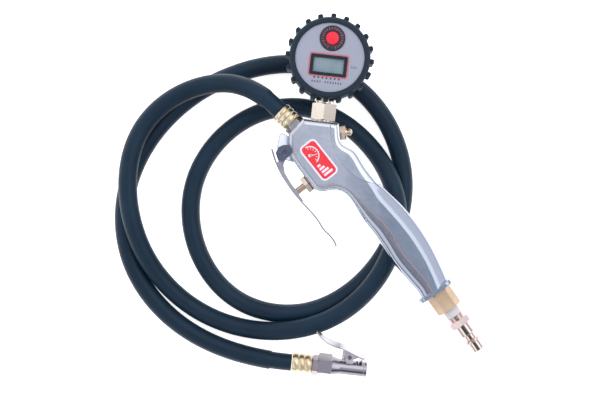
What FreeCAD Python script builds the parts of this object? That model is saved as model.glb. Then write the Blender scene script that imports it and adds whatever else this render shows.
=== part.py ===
import FreeCAD, Part
import math
import os

# Tyre inflator gun with digital gauge, coiled hose and clip-on tyre chuck, in millimetres.
# It lies flat on the XY plane with +Z up.  The gauge is at the gun's +Y end and faces +Z, the
# handle runs toward +X and -Y, and the trigger is on the -X side.  The hose leaves the gun
# toward -X, coils under it and ends at the chuck, near Y = -125, which points along +X.

os.makedirs("parts", exist_ok=True)
Vector = FreeCAD.Vector

MID_Z = 43.0      # height of the gun's middle plane
RUN_FIT = 0.05    # radial clearance of turning and sliding pairs


# ---------------------------------------------------------------- plane geometry
def unit(vector):
    length = math.sqrt(sum(c * c for c in vector))
    return tuple(c / length for c in vector)


def direction(start, end):
    """Horizontal unit vector from one point to another."""
    return unit((end[0] - start[0], end[1] - start[1], 0.0))


def reverse(vector):
    return tuple(-c for c in vector)


def inset(points, distance):
    """Mitred offset of a closed polygon, inward for clockwise points."""
    moved = []
    for i in range(len(points)):
        before, here, after = points[i - 1], points[i], points[(i + 1) % len(points)]
        edge_1 = unit((here[0] - before[0], here[1] - before[1]))
        edge_2 = unit((after[0] - here[0], after[1] - here[1]))
        miter_x = edge_1[1] + edge_2[1]
        miter_y = -edge_1[0] - edge_2[0]
        scale = max(0.35, miter_x * edge_1[1] - miter_y * edge_1[0])
        moved.append((here[0] + distance * miter_x / scale,
                      here[1] + distance * miter_y / scale))
    return moved


def offset_open(points, distance):
    """Offset of an open line, to the left of its run for a positive distance."""
    moved = []
    for i, (x, y) in enumerate(points):
        along = direction(points[max(i - 1, 0)], points[min(i + 1, len(points) - 1)])
        moved.append((x - along[1] * distance, y + along[0] * distance))
    return moved


# ---------------------------------------------------------------- solids
def face_of(vectors):
    """Flat face inside a polygon, which is closed here."""
    return Part.Face(Part.makePolygon(vectors + [vectors[0]]))


def prism(points, z, height):
    return face_of([Vector(x, y, z) for x, y in points]).extrude(Vector(0, 0, height))


def turned(profile):
    """Solid of revolution about local Z from (radius, height) points."""
    return face_of([Vector(r, 0, h) for r, h in profile]).revolve(
        Vector(0, 0, 0), Vector(0, 0, 1), 360)


def cylinder(radius, bottom, top):
    return Part.makeCylinder(radius, top - bottom, Vector(0, 0, bottom))


def cross_hole(radius, centre, length):
    """Cylinder along Z whose middle is at the centre."""
    x, y, z = centre
    return Part.makeCylinder(radius, length, Vector(x, y, z - length / 2))


def hexagon(across_flats, bottom, top, chamfer=0.0):
    corner = across_flats / math.sqrt(3)
    angles = [math.radians(30 + 60 * k) for k in range(6)]
    solid = prism([(corner * math.cos(a), corner * math.sin(a)) for a in angles],
                  bottom, top - bottom)
    if chamfer:
        rim = corner + 0.001
        drop = chamfer * 0.58
        solid = solid.common(turned([
            (0, bottom), (corner - chamfer, bottom), (rim, bottom + drop),
            (rim, top - drop), (corner - chamfer, top), (0, top)]))
    return solid


def round_box(width, height, radius, bottom, top):
    """Box centred on Z with its four upright edges rounded."""
    box = Part.makeBox(width, height, top - bottom, Vector(-width / 2.0, -height / 2.0, bottom))
    return box.makeFillet(radius, [e for e in box.Edges if e.BoundBox.XLength < 1e-6
                                   and e.BoundBox.YLength < 1e-6])


def smooth_wire(groups, z=0.0):
    """Wire from groups of points: two make a line, more make one smooth curve."""
    edges = []
    for group in groups:
        vectors = [Vector(x, y, z) for x, y in group]
        if len(vectors) == 2:
            edges.append(Part.LineSegment(*vectors).toShape())
        else:
            curve = Part.BSplineCurve()
            curve.interpolate(vectors)
            edges.append(curve.toShape())
    return Part.Wire(edges)


def coil(radius, wire_radius, bottom, top, turns):
    """Round-wire compression spring along local Z."""
    pitch = (top - bottom - 2 * wire_radius) / turns
    helix = Part.makeHelix(pitch, pitch * turns, radius)
    helix.translate(Vector(0, 0, bottom + wire_radius))
    start = Vector(radius, 0, bottom + wire_radius)
    tangent = Vector(0, radius * 2 * math.pi, pitch)
    section = Part.Wire(Part.Circle(start, tangent, wire_radius).toShape())
    return one(Part.Wire(helix.Edges).makePipeShell([section], True, True))


def one(shape):
    """The shape as a bare solid, or a compound when it has several."""
    solids = shape.Solids
    return solids[0] if len(solids) == 1 else Part.makeCompound(solids)


def fuse(shape, *others):
    for other in others:
        shape = shape.fuse(other)
    # Merging coplanar faces can fail on awkward geometry; the plain union then stands.
    try:
        shape = shape.removeSplitter()
    except Exception:
        pass
    return one(shape)


def place(shape, base, axis, roll=0.0):
    """Roll about local Z, then carry local Z onto a horizontal axis and local X onto +Z."""
    z = Vector(*axis)
    z.normalize()
    up = Vector(0, 0, 1)
    x = up - z * up.dot(z)
    x.normalize()
    y = z.cross(x)
    matrix = FreeCAD.Matrix(x.x, y.x, z.x, base[0],
                            x.y, y.y, z.y, base[1],
                            x.z, y.z, z.z, base[2],
                            0, 0, 0, 1)
    placed = shape.copy()
    if roll:
        placed.rotate(Vector(0, 0, 0), Vector(0, 0, 1), roll)
    return placed.transformed(matrix, True)


def lay_flat(shape, centre, angle):
    """Turn about Z, then move the origin to the centre."""
    placed = shape.copy()
    placed.rotate(Vector(0, 0, 0), Vector(0, 0, 1), angle)
    placed.translate(Vector(*centre))
    return placed


def save(name, shape):
    one(shape).exportStep("parts/%s.step" % name)


# ---------------------------------------------------------------- casting outline
BODY_HALF = 14.0    # half thickness of the casting

# (x, y) clockwise outline of the casting and its rear cover together
OUTLINE = [
    (-5.566, 49.267), (4.934, 60.292), (11.684, 59.392), (18.434, 58.567), (25.184, 57.817),
    (31.634, 56.767), (32.084, 51.517), (32.459, 46.642), (33.584, 43.267), (36.059, 41.017),
    (39.434, 39.292), (43.184, 36.892), (46.184, 33.367), (48.659, 29.167), (51.134, 25.117),
    (54.134, 20.917), (57.434, 16.792), (61.409, 12.367), (66.059, 8.092), (70.184, 4.117),
    (73.934, 0.517), (77.684, -3.233), (81.434, -7.358), (85.184, -11.858), (88.934, -16.733),
    (92.684, -21.983), (96.434, -27.758), (100.184, -34.133), (103.934, -41.333),
    (107.684, -49.358), (110.684, -56.108), (113.309, -62.858), (93.809, -74.483),
    (90.809, -68.858), (85.184, -62.333), (81.434, -57.983), (77.684, -53.633),
    (73.934, -48.983), (69.809, -42.983), (65.684, -36.383), (61.559, -30.233),
    (57.434, -24.383), (53.309, -19.433), (48.809, -13.358), (44.684, -6.608),
    (40.559, -0.083), (35.684, 4.867), (30.434, 6.967), (25.184, 6.817), (19.934, 6.067),
    (13.184, 7.717), (5.684, 17.767), (1.559, 23.167), (-1.816, 28.117), (-4.816, 33.517),
    (-5.866, 41.017),
]
CORNERS = [0, 1, 5, 31, 32, 50, 51]    # sharp corners, as positions in OUTLINE
VALVE_CORNERS = OUTLINE[50], OUTLINE[51]

# (height from the middle plane, inset) of the sections that round the casting's edges
LEVELS = [(-BODY_HALF, 5.0), (-12.9, 2.9), (-11.0, 1.35), (-8.0, 0.45), (-4.0, 0.1),
          (4.0, 0.1), (8.0, 0.45), (11.0, 1.35), (12.9, 2.9), (BODY_HALF, 5.0)]

# (x, y) joint between the casting and the cover, and the far corners of the cover's side
SEAM = [(25.184, 57.817), (25.559, 52.267), (25.934, 47.017), (26.834, 42.142),
        (28.409, 37.267), (30.584, 32.767), (33.434, 28.267), (36.584, 24.517),
        (40.184, 20.917), (43.934, 17.617), (47.684, 15.217), (51.434, 13.717),
        (55.559, 12.592), (60.884, 11.542)]
SEAM_BOX = [(77.684, 11.542), (77.684, 74.767), (24.884, 74.767)]

# ---------------------------------------------------------------- ports of the casting
# Each port has a base on the casting and an outward axis.
GAUGE_CENTRE = (24.847, 105.469, MID_Z)
CONN_BASE = (19.709, 59.317, MID_Z)
CONN_OUT = direction(CONN_BASE, GAUGE_CENTRE)
CONN_IN = reverse(CONN_OUT)
CONN_THREAD_R = 5.0

VALVE_BASE = tuple(sum(c) / 2 for c in zip(*VALVE_CORNERS)) + (MID_Z,)
VALVE_FACE = direction(VALVE_CORNERS[1], VALVE_CORNERS[0])
VALVE_OUT = (VALVE_FACE[1], -VALVE_FACE[0], 0.0)
VALVE_IN = reverse(VALVE_OUT)
VALVE_BORE_R = 5.0
SEAT_R = 3.0

FIT_BASE = (-0.166, 54.892, MID_Z)    # hose fitting
FIT_OUT = direction((-3.691, 58.267), (-13.239, 67.364))
FIT_IN = reverse(FIT_OUT)

BLEED_BASE = (32.384, 49.867, MID_Z)
BLEED_OUT = direction((18.809, 48.367), BLEED_BASE)
BLEED_IN = reverse(BLEED_OUT)
BLEED_THREAD_R = 3.4

INLET_BASE = (106.184, -69.233, MID_Z)
INLET_OUT = direction(INLET_BASE, (136.934, -112.433))
INLET_IN = reverse(INLET_OUT)
INLET_THREAD_R = 6.8

# radius, start depth, end depth, base, inward axis
BORES = [
    (VALVE_BORE_R, -3, 14.0, VALVE_BASE, VALVE_IN),
    (SEAT_R, 13, 17.0, VALVE_BASE, VALVE_IN),
    (VALVE_BORE_R, 16.0, 34.0, VALVE_BASE, VALVE_IN),    # spring chamber
    (CONN_THREAD_R, -3, 7.2, CONN_BASE, CONN_IN),
    (1.5, 6, 42.0, CONN_BASE, CONN_IN),                  # outlet gallery
    (4.82, -4, 9.5, FIT_BASE, FIT_IN),
    (1.5, 9, 24.5, FIT_BASE, FIT_IN),
    (BLEED_THREAD_R, -3, 8.6, BLEED_BASE, BLEED_IN),
    (0.9, 8, 13.5, BLEED_BASE, BLEED_IN),
    (INLET_THREAD_R, -5, 14.0, INLET_BASE, INLET_IN),
]
PASSAGE_R = 4.4                          # straight passage from the inlet
ELBOW = (77.684, -29.783, MID_Z)
GALLERY_R = 3.4                          # gallery from the elbow to the spring chamber
GALLERY_END = (26.984, 26.317, MID_Z)

# ---------------------------------------------------------------- trigger mounting
PIVOT = (-9.316, 36.142, MID_Z)
PIN_R = 1.30
LEVER_IN = 6.0      # inside half width of the trigger's channel
LEVER_OUT = 7.4     # outside half width of the trigger
LEVER_T = 1.3       # thickness of the trigger's web
LUG_HALF = LEVER_IN - 0.15
EAR_RELIEF_R = 8.6
LUG = [(-5.416, 47.317), (-11.116, 50.017), (-12.766, 48.367), (-13.666, 44.767),
       (-14.416, 39.667), (-14.116, 34.642), (-11.191, 30.817), (-7.066, 29.392),
       (-1.816, 27.892), (2.684, 37.267)]

# ---------------------------------------------------------------- casting details
FLANGE_BASE = (104.834, -69.683, MID_Z)
FLANGE_W, FLANGE_H, FLANGE_T = 27.6, 28.6, 3.9

# cover screws: (start, point aimed at), each used above and below the middle plane
SCREW_AXES = [((40.559, 39.067), (32.684, 31.267)),
              ((52.484, 22.567), (43.559, 16.717))]
SCREW_DZ = 8.2
HEAD_R, HEAD_H, SHANK_R, SHANK_L = 2.75, 2.6, 1.5, 14.0
HEAD_START = 1.6
HEAD_END = HEAD_START + HEAD_H
SCREW_SEATS = [((start[0], start[1], MID_Z + side * SCREW_DZ), direction(start, aim))
               for start, aim in SCREW_AXES for side in (-1, 1)]

BADGE_W, BADGE_H = 31.6, 14.9
BADGE_SINK = 0.45
BADGE_CENTRE = (16.631, 29.442, MID_Z + BODY_HALF)
BADGE_ANGLE = -51.8


# ---------------------------------------------------------------- casting and cover
def casting_blank():
    """Casting and cover in one, lofted through the inset levels."""
    count = len(OUTLINE)
    wires = []
    for height, distance in LEVELS:
        points = inset(OUTLINE, distance)
        groups = []
        for k, first in enumerate(CORNERS):
            last = CORNERS[(k + 1) % len(CORNERS)]
            if last <= first:
                last += count
            groups.append([points[m % count] for m in range(first, last + 1)])
        wires.append(smooth_wire(groups, MID_Z + height))
    return Part.makeLoft(wires, True, True)


def cover_region():
    """Tall prism over the cover's side of the seam."""
    corner_1, corner_2, corner_3 = SEAM_BOX
    wire = smooth_wire([[corner_3, SEAM[0]], SEAM, [SEAM[-1], corner_1],
                        [corner_1, corner_2], [corner_2, corner_3]])
    return Part.Face(wire).extrude(Vector(0, 0, 120))


def end_flange():
    box = Part.makeBox(FLANGE_W, FLANGE_H, FLANGE_T,
                       Vector(-FLANGE_W / 2, -FLANGE_H / 2, -FLANGE_T))
    box = box.makeFillet(5.5, [e for e in box.Edges
                               if abs(e.BoundBox.ZLength - FLANGE_T) < 1e-6
                               and e.BoundBox.XLength < 1e-6])
    box = box.makeFillet(0.9, [e for e in box.Edges if e.BoundBox.ZLength < 1e-6])
    return place(box, FLANGE_BASE, INLET_OUT, roll=90)


def badge_box(trim, radius, bottom, top):
    return round_box(BADGE_W - trim, BADGE_H - trim, radius, bottom, top)


def on_badge(shape):
    return lay_flat(shape, BADGE_CENTRE, BADGE_ANGLE)


def body_casting(blank, region):
    body = blank.cut(region)
    # trim the handle square behind the flange, then add flange and trigger lug
    trim = Part.makeBox(80, 80, 60, Vector(-40, -40, -0.6))
    body = body.cut(place(trim, FLANGE_BASE, INLET_OUT))
    body = fuse(body, end_flange(), prism(LUG, MID_Z - LUG_HALF, 2 * LUG_HALF))
    # relief on both sides of the lug for the trigger's ears
    for bottom in (MID_Z - LUG_HALF - 20, MID_Z + LUG_HALF):
        body = body.cut(Part.makeCylinder(EAR_RELIEF_R, 20, Vector(PIVOT[0], PIVOT[1], bottom)))
    body = body.cut(cross_hole(PIN_R, PIVOT, 60))
    for radius, start, end, base, axis in BORES:
        body = body.cut(place(cylinder(radius, start, end), base, axis))
    passage = cylinder(PASSAGE_R, 13, math.dist(INLET_BASE, ELBOW))
    body = body.cut(place(passage, INLET_BASE, INLET_IN))
    body = body.cut(Part.makeSphere(PASSAGE_R, Vector(*ELBOW)))
    gallery = cylinder(GALLERY_R, 0, math.dist(ELBOW, GALLERY_END))
    body = body.cut(place(gallery, ELBOW, direction(ELBOW, GALLERY_END)))
    for base, axis in SCREW_SEATS:
        body = body.cut(place(cylinder(SHANK_R, 0, HEAD_END + SHANK_L + 0.6), base, axis))
    return body.cut(on_badge(badge_box(-0.2, 4.0, -BADGE_SINK, 2)))


def rear_cover(blank, region):
    cover = one(blank.common(region))
    for base, axis in SCREW_SEATS:
        cover = cover.cut(place(cylinder(HEAD_R + 0.25, -8, HEAD_END), base, axis))
        cover = cover.cut(place(cylinder(SHANK_R + 0.15, 0, 30), base, axis))
    return cover.cut(place(cylinder(BLEED_THREAD_R + 0.15, -3, 20), BLEED_BASE, BLEED_IN))


def cover_screw():
    tip = HEAD_END + SHANK_L
    screw = turned([(0, HEAD_START), (HEAD_R - 0.3, HEAD_START), (HEAD_R, HEAD_START + 0.3),
                    (HEAD_R, HEAD_END), (SHANK_R, HEAD_END), (SHANK_R, tip - 0.6),
                    (SHANK_R - 0.5, tip), (0, tip)])
    return screw.cut(hexagon(2.5, HEAD_START - 0.1, HEAD_START + 1.4))


gun_blank = casting_blank()
gun_cover_region = cover_region()
save("body_casting", body_casting(gun_blank, gun_cover_region))
save("rear_cover", rear_cover(gun_blank, gun_cover_region))
save("cover_screws", Part.makeCompound(
    [place(cover_screw(), base, axis) for base, axis in SCREW_SEATS]))

# badge plate with a raised rim, and the inlay within it
save("badge_plate", on_badge(
    badge_box(0, 3.9, -BADGE_SINK, 0.35).cut(badge_box(2.7, 2.6, 0.0, 1.0))))
save("badge_inlay", on_badge(badge_box(2.8, 2.55, 0.0, 0.22)))

# ---------------------------------------------------------------- trigger
# (x, y) outer line of the web, from the pivot end to the free end
WEB = [(-18.991, 37.867), (-17.266, 31.792), (-15.016, 25.642), (-11.491, 18.442),
       (-6.466, 10.567), (-0.016, 1.942), (3.584, -2.183), (7.934, -6.833),
       (13.184, -12.683), (16.484, -17.183), (19.484, -22.133), (24.284, -27.083),
       (29.084, -35.183)]
# (x, y) edge of the ear around the pivot
EAR = [(-15.916, 27.517), (-13.366, 28.342), (-15.541, 34.867), (-13.441, 39.142),
       (-9.691, 40.867), (-5.566, 41.017), (-3.091, 37.867), (-2.866, 35.467),
       (-4.666, 32.767), (-7.666, 30.367), (-9.016, 28.567), (-9.616, 25.717)]
CHEEK_DEPTHS = [3.3, 3.0, 2.8, 2.2]    # depth of the side below the ear, from WEB[3] on


def trigger_lever():
    inner = offset_open(WEB, LEVER_T)
    wire = smooth_wire([WEB, [WEB[-1], inner[-1]], inner[::-1], [inner[0], WEB[0]]])
    face = Part.Face(wire)
    face.translate(Vector(0, 0, MID_Z - LEVER_OUT))
    lever = face.extrude(Vector(0, 0, 2 * LEVER_OUT))
    cheek = offset_open(WEB, LEVER_T * 0.5)[2:7][::-1] + EAR
    cheek += [offset_open(WEB, depth)[i] for i, depth in enumerate(CHEEK_DEPTHS, 3)]
    for bottom in (-LEVER_OUT, LEVER_IN):
        lever = lever.fuse(prism(cheek, MID_Z + bottom, LEVER_OUT - LEVER_IN))
    return fuse(lever.cut(cross_hole(PIN_R + RUN_FIT, PIVOT, 60)))


save("trigger_lever", trigger_lever())
trigger_pin = turned([(0, -8.6), (1.5, -8.6), (1.8, -8.3), (1.8, -7.5), (PIN_R, -7.5),
                      (PIN_R, 7.5), (1.8, 7.5), (1.8, 8.3), (1.5, 8.6), (0, 8.6)])
save("trigger_pin", lay_flat(trigger_pin, PIVOT, 0))

# ---------------------------------------------------------------- valve
# Local Z runs outward from the casting's valve face.
PLUNGER_R = 2.65
PLUNGER_TIP = 12.8
PLUNGER_FOOT = -13.9     # where the plunger meets the poppet
PLUNGER_BORE_R = PLUNGER_R + RUN_FIT
STEM_R = 1.5
WASHER_T = 0.8


def valve_bonnet():
    bonnet = hexagon(12.5, WASHER_T, 4.2, 0.7).fuse(cylinder(VALVE_BORE_R, -6.0, 1.0))
    bonnet = bonnet.cut(cylinder(PLUNGER_BORE_R, -10, 10)).cut(cylinder(4.0, -7, -3.6))
    return fuse(bonnet)


washer = turned([(VALVE_BORE_R + 0.05, 0.0), (6.1, 0.0), (6.1, WASHER_T),
                 (VALVE_BORE_R + 0.05, WASHER_T)])
plunger = turned([
    (0, PLUNGER_FOOT), (STEM_R, PLUNGER_FOOT), (STEM_R, -5.9), (2.1, -5.5), (PLUNGER_R, -5.1),
    (PLUNGER_R, PLUNGER_TIP - 1.2), (PLUNGER_R - 0.35, PLUNGER_TIP - 0.6),
    (PLUNGER_R - 1.1, PLUNGER_TIP - 0.15), (0.6, PLUNGER_TIP), (0, PLUNGER_TIP)])
plunger_seal = turned([(PLUNGER_BORE_R, -5.6), (3.95, -5.6), (3.95, -3.7),
                       (PLUNGER_BORE_R, -3.7)])
poppet = turned([(0, -18.4), (2.0, -18.4), (2.0, -18.0), (4.2, -17.8), (4.3, -16.9),
                 (3.9, -16.02), (STEM_R, -16.02), (STEM_R, PLUNGER_FOOT), (0, PLUNGER_FOOT)])
valve_spring = coil(radius=3.0, wire_radius=0.42, bottom=17.95, top=28.3, turns=6)
save("valve_bonnet", place(valve_bonnet(), VALVE_BASE, VALVE_OUT, roll=30))
save("bonnet_washer", place(washer, VALVE_BASE, VALVE_OUT))
save("valve_plunger", place(plunger, VALVE_BASE, VALVE_OUT))
save("plunger_seal", place(plunger_seal, VALVE_BASE, VALVE_OUT))
save("valve_poppet", place(poppet, VALVE_BASE, VALVE_OUT))
save("valve_spring", place(valve_spring, VALVE_BASE, VALVE_IN))

# ---------------------------------------------------------------- gauge connector
NECK_R = 6.6
NECK_L = 25.2     # from the casting to the connector's end inside the gauge


def gauge_connector():
    neck = turned([(2.0, -6.8), (4.6, -6.8), (CONN_THREAD_R, -6.3), (CONN_THREAD_R, 0.0),
                   (8.0, 0.0), (8.0, 12.6), (NECK_R, 12.9), (NECK_R, NECK_L - 0.6),
                   (6.1, NECK_L), (2.0, NECK_L)])
    return fuse(neck.fuse(hexagon(18.0, 0.0, 12.6, 1.2)))


save("gauge_connector", place(gauge_connector(), CONN_BASE, CONN_OUT, roll=30))


# ---------------------------------------------------------------- bleed valve
def bleed_body():
    body = hexagon(10.4, 0.0, 4.6, 0.6).fuse(cylinder(BLEED_THREAD_R, -8.2, 0.2))
    body = body.fuse(cylinder(BLEED_THREAD_R, 4.5, 5.4))
    return fuse(body.cut(cylinder(1.0, -9, 9)).cut(cylinder(2.15, -6.0, 9)))


BLEED_BUTTON_FOOT = -3.4
bleed_button = turned([(0, BLEED_BUTTON_FOOT), (2.10, BLEED_BUTTON_FOOT), (2.10, 6.7),
                       (2.35, 6.9), (2.6, 7.5), (2.6, 8.0), (2.2, 8.9), (1.3, 9.5), (0, 9.7)])
bleed_spring = coil(radius=1.55, wire_radius=0.3, bottom=-6.0, top=BLEED_BUTTON_FOOT, turns=3)
save("bleed_body", place(bleed_body(), BLEED_BASE, BLEED_OUT, roll=30))
save("bleed_button", place(bleed_button, BLEED_BASE, BLEED_OUT))
save("bleed_spring", place(bleed_spring, BLEED_BASE, BLEED_OUT))

# ---------------------------------------------------------------- inlet
PLUG_R = 5.6         # plug where it screws into the bushing
PLUG_NOSE_R = 4.75
PLUG_BORE_R = 3.0
BUSHING_L = 15.4
PLUG_HEX = (25.2, 30.3)    # start and end of the plug's hexagon


def inlet_bushing():
    bushing = hexagon(17.3, 0.0, BUSHING_L, 1.2).fuse(cylinder(INLET_THREAD_R, -12.0, 0.4))
    return fuse(bushing.cut(cylinder(4.0, -13, 5)).cut(cylinder(PLUG_R, 3.6, 17)))


def inlet_plug():
    hex_start, hex_end = PLUG_HEX
    plug = turned([
        (PLUG_BORE_R, 5.0), (5.2, 5.0), (PLUG_R, 5.6), (PLUG_R, 21.8), (6.3, 22.0), (6.3, 22.8),
        (5.8, 23.1), (6.3, 23.4), (6.3, 24.2), (5.8, 24.5), (5.8, hex_start), (7.4, hex_start),
        (7.4, hex_end), (5.95, 30.6), (5.95, 38.4), (5.5, 39.0), (4.35, 39.2), (4.35, 42.9),
        (5.5, 43.2), (6.2, 43.9), (6.2, 44.9), (5.6, 45.4), (PLUG_NOSE_R, 45.6),
        (PLUG_NOSE_R, 52.5), (4.35, 53.1), (PLUG_BORE_R, 53.1)])
    nut = hexagon(15.2, hex_start, hex_end, 0.9).cut(cylinder(5.0, 20, 40))
    return fuse(plug.fuse(nut))


thread_tape = turned([(PLUG_R, BUSHING_L), (6.15, BUSHING_L), (6.15, 17.3), (6.0, 17.6),
                      (6.12, 19.4), (5.95, 19.7), (6.0, 21.7), (PLUG_R, 21.7)])
save("inlet_bushing", place(inlet_bushing(), INLET_BASE, INLET_OUT))
save("thread_tape", place(thread_tape, INLET_BASE, INLET_OUT))
save("inlet_plug", place(inlet_plug(), INLET_BASE, INLET_OUT, roll=30))

# ---------------------------------------------------------------- hose
HOSE_R = 7.15
HOSE_BORE_R = 4.0
CRIMP_BORE_R = 3.9      # bore where the hose is squeezed
HOSE_CRIMP_R = 6.55     # outer radius where the ferrules squeeze the hose
FLOOR_Z = 7.17          # height of the centre line where the hose lies on the floor
CHUCK_Z = 8.6           # height of the tyre chuck's axis
GUN_FERRULE_L, GUN_NUT_L = 13.2, 3.8
FERRULE_L, NUT_L = 16.2, 4.2
FERRULE_R = 7.3         # ferrule radius between its swellings
COLLAR_R = 5.4          # step inside the ferrule's closed end
NIPPLE_BORE_R = 2.2
NIPPLE_THREAD_R = 4.8
NIPPLE_THREAD_L = 8.0
NIPPLE_AF = 14.0

# (x, y, z) centre line from the gun down to the floor
HOSE_START = [
    (-12.502, 66.647, MID_Z), (-16.846, 70.786, MID_Z), (-27.701, 79.327, 40.963),
    (-39.460, 85.207, 36.180), (-51.871, 88.182, 30.436), (-64.895, 88.026, 25.325),
    (-78.168, 85.098, 22.010), (-90.930, 79.567, 20.418), (-102.528, 71.790, 19.348),
    (-112.489, 61.959, 18.987), (-120.235, 50.316, 19.544), (-125.382, 37.343, 20.662),
    (-128.143, 23.643, 21.617), (-128.878, 9.652, 21.735), (-127.857, -4.303, 20.971),
    (-125.250, -17.992, 19.483), (-121.108, -31.208, 17.337), (-115.449, -43.755, 14.699),
    (-108.363, -55.413, 11.496), (-99.775, -66.112, 8.660), (-89.659, -75.703, 7.305),
    (-78.308, -83.918, FLOOR_Z), (-66.014, -90.647, FLOOR_Z), (-52.974, -95.780, 7.206),
    (-39.426, -99.190, 8.216), (-25.747, -100.796, 10.774), (-12.120, -100.685, 14.047),
    (1.594, -98.922, 16.298), (15.096, -95.365, 17.464), (27.967, -89.887, 18.237),
    (39.829, -82.469, 18.975), (50.408, -73.313, 19.719), (59.527, -62.706, 20.512),
    (67.025, -50.885, 21.119), (72.671, -38.070, 21.531), (76.175, -24.510, 21.754),
    (77.229, -10.551, 21.451), (75.602, 3.285, 20.104), (71.592, 16.308, 16.915),
    (65.734, 28.271, 12.569), (58.040, 39.433, 9.055), (48.561, 49.598, 7.371),
]
# (x, y) centre line of the coils on the floor
HOSE_COILS = [
    (37.594, 58.312), (25.389, 65.184), (12.150, 69.744), (-1.737, 71.508), (-15.695, 70.408),
    (-29.193, 66.676), (-41.783, 60.542), (-53.127, 52.325), (-62.969, 42.356),
    (-71.052, 30.916), (-77.079, 18.273), (-80.707, 4.748), (-81.804, -9.215),
    (-80.506, -23.162), (-76.957, -36.714), (-71.263, -49.513), (-63.500, -61.171),
    (-53.754, -71.225), (-42.208, -79.142), (-29.293, -84.551), (-15.586, -87.417),
    (-1.585, -87.719), (12.223, -85.389), (25.374, -80.571), (37.565, -73.668),
    (48.609, -65.043), (58.353, -54.973), (66.647, -43.679), (73.352, -31.374),
    (78.341, -18.279), (81.488, -4.625), (82.679, 9.336), (81.822, 23.321), (78.935, 37.032),
    (74.163, 50.207), (67.624, 62.600), (59.403, 73.946), (49.578, 83.933), (38.275, 92.208),
    (25.771, 98.523), (12.402, 102.705), (-1.476, 104.608), (-15.485, 104.339),
    (-29.338, 102.217), (-42.863, 98.537), (-55.955, 93.525), (-68.501, 87.273),
    (-80.364, 79.806), (-91.401, 71.166), (-101.473, 61.417), (-110.447, 50.650),
    (-118.192, 38.968), (-124.543, 26.474), (-129.305, 13.294), (-132.258, -0.403),
    (-133.233, -14.381), (-132.222, -28.357), (-129.234, -42.046), (-124.273, -55.149),
    (-117.451, -67.388), (-109.033, -78.592), (-99.274, -88.650), (-88.385, -97.474),
    (-76.555, -104.991), (-63.999, -111.223),
]
# (x, y, z) centre line up to the chuck
HOSE_END = [
    (-50.905, -116.227, 7.269), (-37.429, -120.055, 7.803), (-23.723, -122.956, 8.362),
    (-9.841, -124.900, CHUCK_Z), (-3.874, -125.525, CHUCK_Z),
]
HOSE = HOSE_START + [(x, y, FLOOR_Z) for x, y in HOSE_COILS] + HOSE_END
GUN_END = HOSE[0]
CHUCK_BASE = HOSE[-1]
CHUCK_DIR = unit((0.99456, -0.10413, 0.0))


def crimped_end(length):
    return turned([(CRIMP_BORE_R, -2.0), (HOSE_CRIMP_R, -2.0), (HOSE_CRIMP_R, length - 1.6),
                   (CRIMP_BORE_R, length - 1.6)])


def hose():
    """Hose swept in two halves, with its crimped ends."""
    curve = Part.BSplineCurve()
    curve.interpolate([Vector(*point) for point in HOSE], False)
    half = (curve.LastParameter - curve.FirstParameter) / 2.0
    halves = []
    for k in range(2):
        start = curve.FirstParameter + half * k
        path = Part.Wire(curve.toShape(start, start + half))
        centre, tangent = curve.value(start), curve.tangent(start)[0]
        outside, bore = [
            path.makePipeShell([Part.Wire(Part.Circle(centre, tangent, r).toShape())],
                               True, False)
            for r in (HOSE_R, HOSE_BORE_R)]
        halves.append(one(outside.cut(bore)))
    tube = one(halves[0].fuse(halves[1]))
    tube = tube.fuse(place(crimped_end(GUN_FERRULE_L), GUN_END, FIT_IN))
    return tube.fuse(place(crimped_end(FERRULE_L), CHUCK_BASE, CHUCK_DIR))


def swellings(low_r, high_r, bottom, top, count, steps=7):
    """(radius, height) points of rounded swellings between grooves."""
    pitch = (top - bottom) / count
    points = [(low_r, bottom)]
    for k in range(count):
        for i in range(1, steps + 1):
            rise = math.sin(math.pi * i / steps) ** 0.7 if i < steps else 0
            points.append((low_r + (high_r - low_r) * rise, bottom + pitch * (k + i / steps)))
    return points


def ferrule(length):
    return turned([(HOSE_CRIMP_R, 0.5), (FERRULE_R, 0.5)]
                  + swellings(FERRULE_R, 8.0, 0.8, length - 1.4, 3)
                  + [(7.1, length - 0.8), (6.2, length), (COLLAR_R, length),
                     (COLLAR_R, length - 1.6), (HOSE_CRIMP_R, length - 1.6)])


def nipple(length, nut_length):
    """Barbed nipple for a ferrule of the given length, with hexagon and thread."""
    profile = [(NIPPLE_BORE_R, 1.2), (3.5, 1.2)]
    height = 3.4
    while height < length - 3.0:
        profile += [(CRIMP_BORE_R, height), (CRIMP_BORE_R - 0.4, height + 0.2)]
        height += 2.6
    top = length + nut_length
    tip = top + NIPPLE_THREAD_L
    profile += [(CRIMP_BORE_R, length - 1.6), (COLLAR_R, length - 1.6), (COLLAR_R, length),
                (6.2, length), (6.2, top), (NIPPLE_THREAD_R, top), (NIPPLE_THREAD_R, tip - 0.5),
                (NIPPLE_THREAD_R - 0.5, tip), (NIPPLE_BORE_R, tip)]
    nut = hexagon(NIPPLE_AF, length, top, 0.6).cut(cylinder(5.0, 0, 60))
    return fuse(turned(profile).fuse(nut))


save("hose", hose())
save("gun_ferrule", place(ferrule(GUN_FERRULE_L), GUN_END, FIT_IN))
save("gun_hose_nipple", place(nipple(GUN_FERRULE_L, GUN_NUT_L), GUN_END, FIT_IN))
save("chuck_ferrule", place(ferrule(FERRULE_L), CHUCK_BASE, CHUCK_DIR))
save("chuck_hose_nipple", place(nipple(FERRULE_L, NUT_L), CHUCK_BASE, CHUCK_DIR))

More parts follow.
